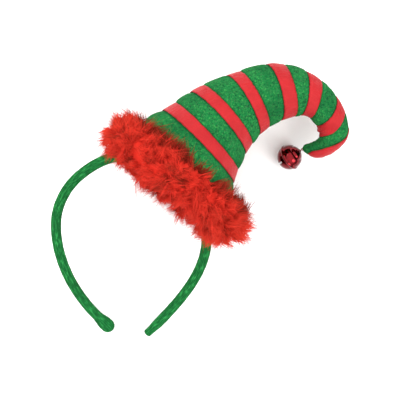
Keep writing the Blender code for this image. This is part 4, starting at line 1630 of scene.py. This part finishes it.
@dataclass
class FeatherBoa:
    """The marabou boa: locks of down round a soft core."""

    places: Places
    hat: HatForm
    band: BandForm
    shift: Array
    locks: int = 940
    barbs: int = 37
    parts: int = 4
    seed: int = 7
    core_radius: float = 0.0130
    core_uneven: float = 0.0007
    core_size: tuple[int, int] = (220, 60)
    length: float = 0.308
    girth: float = 0.078
    root_radius: float = 0.0095
    barb_radius: float = 0.00021
    sway: float = 0.0005
    lock_spread: tuple[float, float] = (0.064, 0.165)
    barb_stray: tuple[float, float] = (0.02, 0.07)
    fringe_place: float = math.radians(102.0)
    band_rows: tuple[float, float] = (5.5, 12.5)
    band_near: float = 0.0120
    hat_spare: float = 0.0014
    core_spare: float = 0.0004
    barb_spare: float = 0.0006
    floor: float = 0.0004
    floor_soft: float = 0.0010
    way: Array = field(default_factory=lambda: np.array((0.0, 0.55, 1.0)))
    tufts: tuple[Tuft, ...] = (
        Tuft(180.0, 33.0, 10.0, 0.46),
        Tuft(180.0, -4.0, 18.0, -0.24),
        Tuft(180.0, -50.0, 12.0, 0.28),
        Tuft(0.0, 8.0, 66.0, 0.16),
    )

    def point(self, ring: Array, boa: Array, radius: Array | float) -> Array:
        """Place points of the boa.

        Args:
            ring: angles round the hat.
            boa: angles round the boa itself.
            radius: how far from its centre line.

        Returns:
            The points.
        """
        places = self.places
        reach = places.boa_ring + radius * np.cos(boa)
        rise = radius * np.sin(boa)
        middle = places.boa_centre + rise[..., None] * places.axis
        return middle + reach[..., None] * spokes(ring, places.side, places.top)

    def reach(self, ring: Array, boa: Array) -> Array:
        """Work out how far the down reaches.

        It is the boa's radius, less a share on the ring's inner side, and more or less at the tufts
        by a bell curve of the distance from each.

        Args:
            ring: angles round the hat.
            boa: angles round the boa itself.

        Returns:
            The reach at each place.
        """
        extra = np.zeros(np.broadcast(ring, boa).shape)
        for tuft in self.tufts:
            ring_off = 2.5 * turned_from(ring, math.radians(tuft.ring))
            boa_off = turned_from(boa, math.radians(tuft.boa))
            extra = extra + tuft.reach * bell_curve(np.hypot(ring_off, boa_off), math.radians(tuft.spread))
        inner = 0.22 * np.maximum(0.0, -np.cos(boa))
        return self.places.boa_radius * (1.03 * (1 + extra) - inner)

    def out_of_hat(self, points: Array, spare: float) -> Array:
        """Work out how far points go to leave the hat and its disc.

        In the hat's own frame, a point nearer to the axis than the cone is goes out to it.

        Args:
            points: the points.
            spare: how far off the hat they stay.

        Returns:
            The moves.
        """
        places = self.places
        local = points - places.rim
        depth = local @ places.axis
        spoke = local - depth[:, None] * places.axis
        away = np.linalg.norm(spoke, axis=1)
        cone = self.hat.radius(np.clip(depth, 0.0, 0.05)) + self.hat_spare + spare
        lowest = -(places.disc + 2 * places.gap) - spare
        out = np.where((depth > lowest) & (away < cone), cone - away, 0.0)
        return out[:, None] * spoke / np.maximum(away, TINY)[:, None]

    def make_room(self, points: Array, spare: float) -> Array:
        """Move points out of the hat, the disc and the band, and press them flat on the ground.

        A point in the band goes straight away from its centre line. The height goes through a soft
        maximum.

        Args:
            points: the points.
            spare: how far off the other pieces they stay.

        Returns:
            The points, moved.
        """
        shape = points.shape
        points = points.reshape(-1, 3)
        points = points + self.out_of_hat(points, spare)
        line = self.band.line(np.linspace(*self.band_rows, 160))
        most = self.band.diameter / 2 + spare
        coarse = np.linalg.norm(points[:, None, :] - line[None, ::16], axis=2)
        near = np.flatnonzero(np.min(coarse, axis=1) < self.band_near)
        gaps = points[near, None, :] - line[None]
        far = np.linalg.norm(gaps, axis=2)
        nearest = np.arange(len(near)), np.argmin(far, axis=1)
        gap, far = gaps[nearest], far[nearest]
        points[near] += np.maximum(0.0, most - far)[:, None] * gap / np.maximum(far, TINY)[:, None]
        height = np.clip((points[:, 2] - self.floor) / self.floor_soft, -40, 600)
        points[:, 2] = self.floor + self.floor_soft * np.logaddexp(0.0, height)
        return points.reshape(shape)

    def build_core(self) -> bpy.types.Object:
        """Build the soft core: a closed ring of down that is uneven by a few sines.

        Returns:
            The core.
        """
        rows, columns = self.core_size
        ring, boa = np.meshgrid(full_turn(rows), full_turn(columns), indexing="ij")
        radius = self.core_radius + self.core_uneven * ripple(ring * 6, boa, 41, 12, 5.0)
        points = self.make_room(self.point(ring, boa, radius), self.core_spare)
        skin = Skin()
        skin.rings(points + self.shift, spread(rows, self.length), spread(columns, self.girth), closed=True)
        core = skin.build("marabou_core")
        # The core takes the colour near the quill, painted shade deep in the down, and no painted side light.
        for name, value in (("out", 0.1), ("tone", 0.35), ("painted_side_light", 0.0)):
            give_values(core, name, np.full(rows * columns, value))
        return settle_piece(core, Finishes.DOWN, "feather", "fur_trim")

    def lay_locks(self, random: np.random.Generator) -> Locks:
        """Strew the locks over the boa, fewer where its ring is narrow.

        The fringe is the locks next to the felt, which lean over it and are painted dark as shade.

        Args:
            random: the source of the draws.

        Returns:
            The locks.
        """
        places, locks = self.places, self.locks
        ring = random.uniform(0, TURN, locks)
        boa = random.uniform(0, TURN, locks)
        room = (places.boa_ring + places.boa_radius * np.cos(boa)) / (places.boa_ring + places.boa_radius)
        keep = random.uniform(0, 1, locks) < room
        boa = np.where(keep, boa, random.normal(0.0, 1.0, locks))
        fringe = ease((np.cos(boa - self.fringe_place) - 0.45) / 0.4)
        return Locks(
            ring, boa, fringe,
            drift_ring=random.normal(0, 0.10, locks) + 0.05 * np.sin(5 * ring),
            drift_boa=random.normal(0, 0.30, locks) + 0.22 * np.sin(3 * ring + 1.0) + 0.15 * fringe,
            gather=random.uniform(0.55, 1.0, locks),
            # random tone of each lock, less painted shade on the fringe over the felt
            tone=np.clip(random.normal(0.60, 0.22, locks) - 0.85 * fringe, 0, 1),
            size=random.uniform(0.84, 1.12, locks),
        )

    def lay_barbs(self, random: np.random.Generator, locks: Locks) -> tuple[Array, Array]:
        """Lay out the barbs of the locks.

        A barb runs out to the boa's reach while both its angles drift by a power of the way gone. The
        barbs of a lock share their drift and draw together at their tips. A barb is shorter by the
        square of how far it stands from its lock's middle, so that the lock is pointed. A few thin
        ones, the wisps, reach further.

        Args:
            random: the source of the draws.
            locks: the locks.

        Returns:
            Three points for each barb, and which barbs are wisps.
        """
        size, way = (self.locks, self.barbs), self.way
        apart = np.clip(random.normal(0, 1.0, (2, *size)), -2.2, 2.2)
        often = 0.10 + 0.10 * np.cos(locks.ring) ** 8 + 0.12 * locks.fringe
        wisp = random.uniform(0, 1, size) < often[:, None]
        length = locks.size[:, None] * (1.04 - 0.055 * np.sum(apart**2, axis=0))
        length = length * random.uniform(0.90, 1.03, size)
        length = np.where(wisp, np.maximum(length, 0.94) * random.uniform(1.04, 1.34, size), length)
        bend, drawn = way**1.7, 1 - locks.gather[:, None, None] * way**1.3
        angles = []
        middles, drifts = (locks.ring, locks.boa), (locks.drift_ring, locks.drift_boa)
        for middle, drift, off, wide, stray in zip(middles, drifts, apart, self.lock_spread, self.barb_stray):
            drift = drift[:, None] + random.normal(0, stray, size)
            off = wide * off[..., None] * drawn
            angles.append(middle[:, None, None] + off + drift[..., None] * bend)
        ring, boa = angles
        far = self.reach(ring[..., -1], boa[..., -1]) * length
        radius = self.root_radius + (far[..., None] - self.root_radius) * way
        points = self.point(ring, boa, radius).reshape(-1, len(way), 3)
        sways = random.normal(0, self.sway, points.shape) * way[None, :, None]
        return self.make_room(points + sways, self.barb_spare), wisp.ravel()

    def build(self) -> list[bpy.types.Object]:
        """Build the core, and the down in a few parts of the ring.

        A barb is a thin pointed tube of three sides. Its tone is its lock's, with painted shade on
        the fringe's wisps, and painted light makes it brighter and warmer near the two sides of the ring.

        Returns:
            The core and the parts of the down.
        """
        random = np.random.default_rng(self.seed)
        places, locks = self.places, self.lay_locks(random)
        points, wisp = self.lay_barbs(random, locks)
        count = len(points)
        thick = self.barb_radius * random.uniform(0.6, 1.25, count) * np.where(wisp, 1.35, 1.0)
        radii = thick[:, None] * np.array((1.0, 0.85, 0.0))[None]
        upright = unit(random.normal(0, 1, (count, 3)))
        tone = np.clip(np.repeat(locks.tone, self.barbs) + random.normal(0, 0.10, count), 0, 1)
        # painted light: brighter, warmer down towards the two sides of the ring
        level = (points[:, -1] - places.boa_centre) @ places.side / (places.boa_ring + places.boa_radius)
        painted_side_light = np.clip(level**2 * 0.8 + random.normal(0, 0.1, count), 0, 1)
        # painted shade: the fringe's wisps darker still
        tone = np.clip(tone - 0.5 * wisp * np.repeat(locks.fringe, self.barbs), 0, 1)
        sides = 3
        out = np.concatenate((np.repeat(self.way[:-1], sides), self.way[[0, -1]]))
        made = [self.build_core()]
        order = np.argsort(np.repeat(locks.ring, self.barbs), kind="stable")
        for number, some in enumerate(np.array_split(order, self.parts), start=1):
            skin = Skin()
            skin.tubes(points[some] + self.shift, radii[some], sides, upright[some], pointed=True)
            part = skin.build(f"marabou_down_{number}", outward=False)
            give_values(part, "out", np.tile(out, len(some)))
            give_values(part, "tone", np.repeat(tone[some], len(out)))
            give_values(part, "painted_side_light", np.repeat(painted_side_light[some], len(out)))
            made.append(settle_piece(part, Finishes.DOWN, "feather", "fur_trim"))
        return made


@dataclass
class Coil:
    """A closed ring of round wire, which may wind round its circle as the ply of a thread does."""

    centre: Array
    first: Array
    second: Array
    radius: float
    wire: float
    winds: float = 0.0
    offset: float = 0.0

    def rings(self, steps: int, sides: int) -> tuple[Array, Array, Array]:
        """Turn the wire round the circle.

        Args:
            steps: places along the circle.
            sides: the wire's sides.

        Returns:
            The rings and the distances along and round them.
        """
        angles = full_turn(steps)
        outward = spokes(angles, self.first, self.second)
        normal = np.cross(self.first, self.second)
        wound = spokes(angles * self.winds, outward, normal)
        line = self.centre + self.radius * outward + self.offset * wound
        rings = line[:, None] + self.wire * spokes(full_turn(sides)[None], outward[:, None], normal)
        return rings, spread(steps, TURN * self.radius), spread(sides, TURN * self.wire)


@dataclass
class JingleBell:
    """The bell of two pressed halves with its loop, and the thread that it hangs by."""

    places: Places
    tip: Array
    shift: Array
    columns: int = 96
    outer_rows: int = 72
    inner_rows: int = 48
    girth: float = 0.0576
    slot_width: float = 0.0015
    slot_hole: float = 0.0028
    slot_reach: float = math.radians(52.0)
    bead_half: float = 0.00072
    line_depth: float = 0.00012
    line_half: float = 0.00016
    collar: float = 0.00035
    collar_arc: float = 1.22
    collar_fade: float = 0.10
    dent_depth: float = 0.0007
    dent_arc: float = 0.86
    dent_spread: float = 0.11
    ply: float = 0.00017
    ply_offset: float = 0.00013
    ply_winds: float = 11.0
    stitch_width: float = 0.0010
    stitch_reach: float = 0.0016
    stitch_sink: float = 0.0009
    stitch_radius: float = 0.00019

    def __post_init__(self) -> None:
        """Place the bell's centre below the tip and its two level directions."""
        self.centre: Array = self.tip - self.places.hang * self.places.bell_axis + self.shift
        self.side: Array = unit(np.cross(self.places.bell_axis, UP))
        self.other: Array = np.cross(self.side, self.places.bell_axis)

    def dent(self, arc: Array) -> Array:
        """Return how deep the pressed ring round the loop is: a bell curve of the angle to it."""
        return self.dent_depth * bell_curve(arc - self.dent_arc, self.dent_spread)

    def round_skin(self, arc: Array, radius: Array, ends: tuple[float, float]) -> Skin:
        """Turn a round profile about the bell's axis.

        Args:
            arc: the profile's angles over the bell's middle.
            radius: its distances from the bell's centre.
            ends: how far along the axis its first and its last point are.

        Returns:
            The closed skin.
        """
        axis = self.places.bell_axis
        outward = spokes(full_turn(self.columns), self.side, self.other)
        rings = self.centre + (radius * np.cos(arc))[:, None, None] * outward
        rings = rings + (radius * np.sin(arc))[:, None, None] * axis
        skin = Skin()
        skin.rings(rings, arc * self.places.bell / 2, spread(self.columns, self.girth),
                   poles=[self.centre + end * axis for end in ends])
        return skin

    def shell(self) -> bpy.types.Object:
        """Build the shell: a half circle and a smaller one turned round the axis, slots cut out.

        The outer line has a bead round the middle, the edge where the halves are pressed together,
        a pressed ring and a low collar under the loop.

        Returns:
            The shell.
        """
        radius, inner = self.places.bell / 2, self.places.bell / 2 - self.places.bell_wall
        arc = np.linspace(math.pi / 2, -math.pi / 2, self.outer_rows + 2)[1:-1]
        bead = self.places.bell_bead * bell_curve(arc * radius, self.bead_half, 4)
        line = self.line_depth * bell_curve(arc * radius, self.line_half)
        collar = self.collar * ease((arc - self.collar_arc) / self.collar_fade)
        outer = radius + bead - line + collar - self.dent(arc)
        bell = self.round_skin(arc, outer, (radius + self.collar, -radius)).build("bell_shell")
        arc = np.linspace(-math.pi / 2, math.pi / 2, self.inner_rows + 2)[1:-1]
        hollow = self.round_skin(arc, inner - self.dent(arc), (-inner, inner)).build("bell_hollow")
        cutters = [hollow] + self.slot_cutters()
        for cutter in cutters:
            cut = bell.modifiers.new("cut", "BOOLEAN")
            cut.operation, cut.object = "DIFFERENCE", cutter
        apply_modifiers(bell)
        for cutter in cutters:
            bpy.data.objects.remove(cutter)
        return bell

    def slot_cutters(self) -> list[bpy.types.Object]:
        """Build the cutters of the crossed slots: a long box each and a round hole at each end.

        Returns:
            The cutters.
        """
        radius = self.places.bell / 2
        half = radius * math.sin(self.slot_reach)
        corners = np.array(((-1, -1), (1, -1), (1, 1), (-1, 1))) * (half, self.slot_width / 2)
        holes = full_turn(28)
        hole = np.column_stack((np.cos(holes), np.sin(holes))) * self.slot_hole / 2
        made = []
        for ways in ((self.side, self.other), (self.other, self.side)):
            for outline, depth in ((corners, -0.5), (hole + (half, 0), -0.4), (hole - (half, 0), -0.4)):
                flat = self.centre + outline @ np.array(ways)
                rings = np.array([flat + d * radius * self.places.bell_axis for d in (-1.2, depth)])
                skin = Skin()
                skin.rings(rings, np.arange(2.0), np.arange(len(flat) + 1.0), poles=rings.mean(axis=1))
                made.append(skin.build("slot_cutter"))
        return made

    def build(self) -> list[bpy.types.Object]:
        """Build the bell, dress its ball and build the thread.

        Returns:
            The pieces.
        """
        places, axis = self.places, self.places.bell_axis
        bell = settle_piece(self.shell(), Finishes.BELL, "red_metal", "jingle_bell")
        wire = places.loop_wire / 2
        coil = Coil(self.centre + places.loop_reach * axis, axis, self.side, places.loop / 2 - wire, wire)
        skin = Skin()
        skin.rings(*coil.rings(56, 18), closed=True)
        loop = settle_piece(skin.build("bell_loop"), Finishes.BELL, "red_metal", "jingle_bell")
        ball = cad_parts["bell_ball"]
        dress(ball, Finishes.BALL)
        return [bell, loop, ball, self.thread()]

    def thread(self) -> bpy.types.Object:
        """Build the thread: two plies that wind round one ring, and stitches into the tip.

        Returns:
            The thread.
        """
        places, axis = self.places, self.places.bell_axis
        centre = self.centre + places.thread_reach * axis
        radius = (places.thread_ring - places.thread) / 2
        skin = Skin()
        for offset in (self.ply_offset, -self.ply_offset):
            coil = Coil(centre, axis, self.other, radius, self.ply, self.ply_winds, offset)
            skin.rings(*coil.rings(160, 8), closed=True)
        end = centre + radius * axis
        inward = unit(self.tip + self.shift - end + self.stitch_sink * axis)
        way = np.linspace(0, math.pi, 9)
        for swing in np.radians((0, 60, 120)):
            off = math.cos(swing) * self.side + math.sin(swing) * self.other
            path = end + spokes(way, self.stitch_width * off, self.stitch_reach * inward)
            radii = np.full((1, len(way)), self.stitch_radius)
            skin.tubes(path[None], radii, 8, np.cross(off, inward)[None])
        return settle_piece(skin.build("bell_sewing_thread"), Finishes.THREAD, "thread", "bell_thread")


class Lamp(NamedTuple):
    """A round area light, with its diameter and its power in watts."""

    name: str
    place: Triple
    size: float
    power: float


@dataclass
class Studio:
    """The pale floor, the soft lights and the camera straight above."""

    camera: Triple = (-0.00056, 0.00214, 1.15)
    lens: float = 127.03
    sensor: float = 36.0
    clip: tuple[float, float] = (0.01, 20.0)
    floor_size: float = 4.0
    aim: Triple = (0.0, 0.0, 0.04)
    air_rise: tuple[float, float] = (0.10, 0.70)
    air_light: tuple[float, float] = (0.50, 2.15)
    lamps: tuple[Lamp, ...] = (
        Lamp("key", (-0.75, 0.80, 1.05), 0.90, 12.0),
        Lamp("fill", (0.95, -0.70, 1.00), 0.80, 9.0),
    )

    def build(self) -> None:
        """Build the floor, the world, the lamps and the camera, and show plain colours."""
        self.build_floor()
        self.build_air()
        for lamp in self.lamps:
            self.build_lamp(lamp)
        self.build_camera()
        bpy.context.scene.view_settings.view_transform = "Standard"

    def build_floor(self) -> None:
        """Build the floor, one square at the height of the ground."""
        half = self.floor_size / 2
        corners = np.array([(-half, -half, 0), (half, -half, 0), (half, half, 0), (-half, half, 0)])
        skin = Skin()
        skin.add(corners, [np.array([[0, 1, 2, 3]])], [corners[None, :, :2]])
        floor = skin.build("studio_floor", outward=False)
        dress(floor, Finishes.FLOOR)

    def build_air(self) -> None:
        """Make the world: pale overhead and dim near the horizon, as in a studio with dark walls."""
        world = bpy.data.worlds.new("studio_air")
        world.use_nodes = True
        tree = world.node_tree
        ways = tree.nodes.new("ShaderNodeTexCoord")
        parts = tree.nodes.new("ShaderNodeSeparateXYZ")
        rise = tree.nodes.new("ShaderNodeMapRange")
        rise.interpolation_type = "SMOOTHSTEP"
        for name, value in zip(("From Min", "From Max", "To Min", "To Max"), self.air_rise + self.air_light):
            rise.inputs[name].default_value = value
        tree.links.new(ways.outputs["Generated"], parts.inputs[0])
        tree.links.new(parts.outputs["Z"], rise.inputs["Value"])
        background = tree.nodes["Background"]
        background.inputs["Color"].default_value = (1.0, 1.0, 1.0, 1.0)
        tree.links.new(rise.outputs[0], background.inputs["Strength"])
        bpy.context.scene.world = world

    def build_lamp(self, lamp: Lamp) -> None:
        """Add an area light that faces the middle of the headband.

        Args:
            lamp: the light.
        """
        data = bpy.data.lights.new(lamp.name, "AREA")
        data.shape = "DISK"
        data.size, data.energy = lamp.size, lamp.power
        obj = bpy.data.objects.new(lamp.name, data)
        way = unit(np.array(self.aim) - np.array(lamp.place))
        obj.rotation_euler = (math.acos(-way[2]), 0.0, math.atan2(way[1], way[0]) - math.pi / 2)
        obj.location = lamp.place
        bpy.context.scene.collection.objects.link(obj)

    def build_camera(self) -> None:
        """Add the camera, which looks straight down."""
        data = bpy.data.cameras.new("camera")
        data.lens, data.sensor_width = self.lens, self.sensor
        data.clip_start, data.clip_end = self.clip
        camera = bpy.data.objects.new("camera", data)
        camera.location = self.camera
        bpy.context.scene.collection.objects.link(camera)
        bpy.context.scene.camera = camera


def main() -> None:
    """Build every piece of the headband and the studio, and report each piece."""
    logging.basicConfig(level=logging.INFO, format="%(name)s: %(message)s")
    places = Places()
    hat = HatForm(places)
    band = BandForm(places)
    shift = places.shift(hat.tip)
    Studio().build()
    HeadbandCover(band, shift).build()
    HatCover(hat, shift).build()
    Ribbons(hat, shift).build()
    BaseDisc(hat, shift).build()
    SeatPatch(band, shift).build()
    FeatherBoa(places, hat, band, shift).build()
    JingleBell(places, hat.tip, shift).build()


if __name__ == "__main__":
    main()
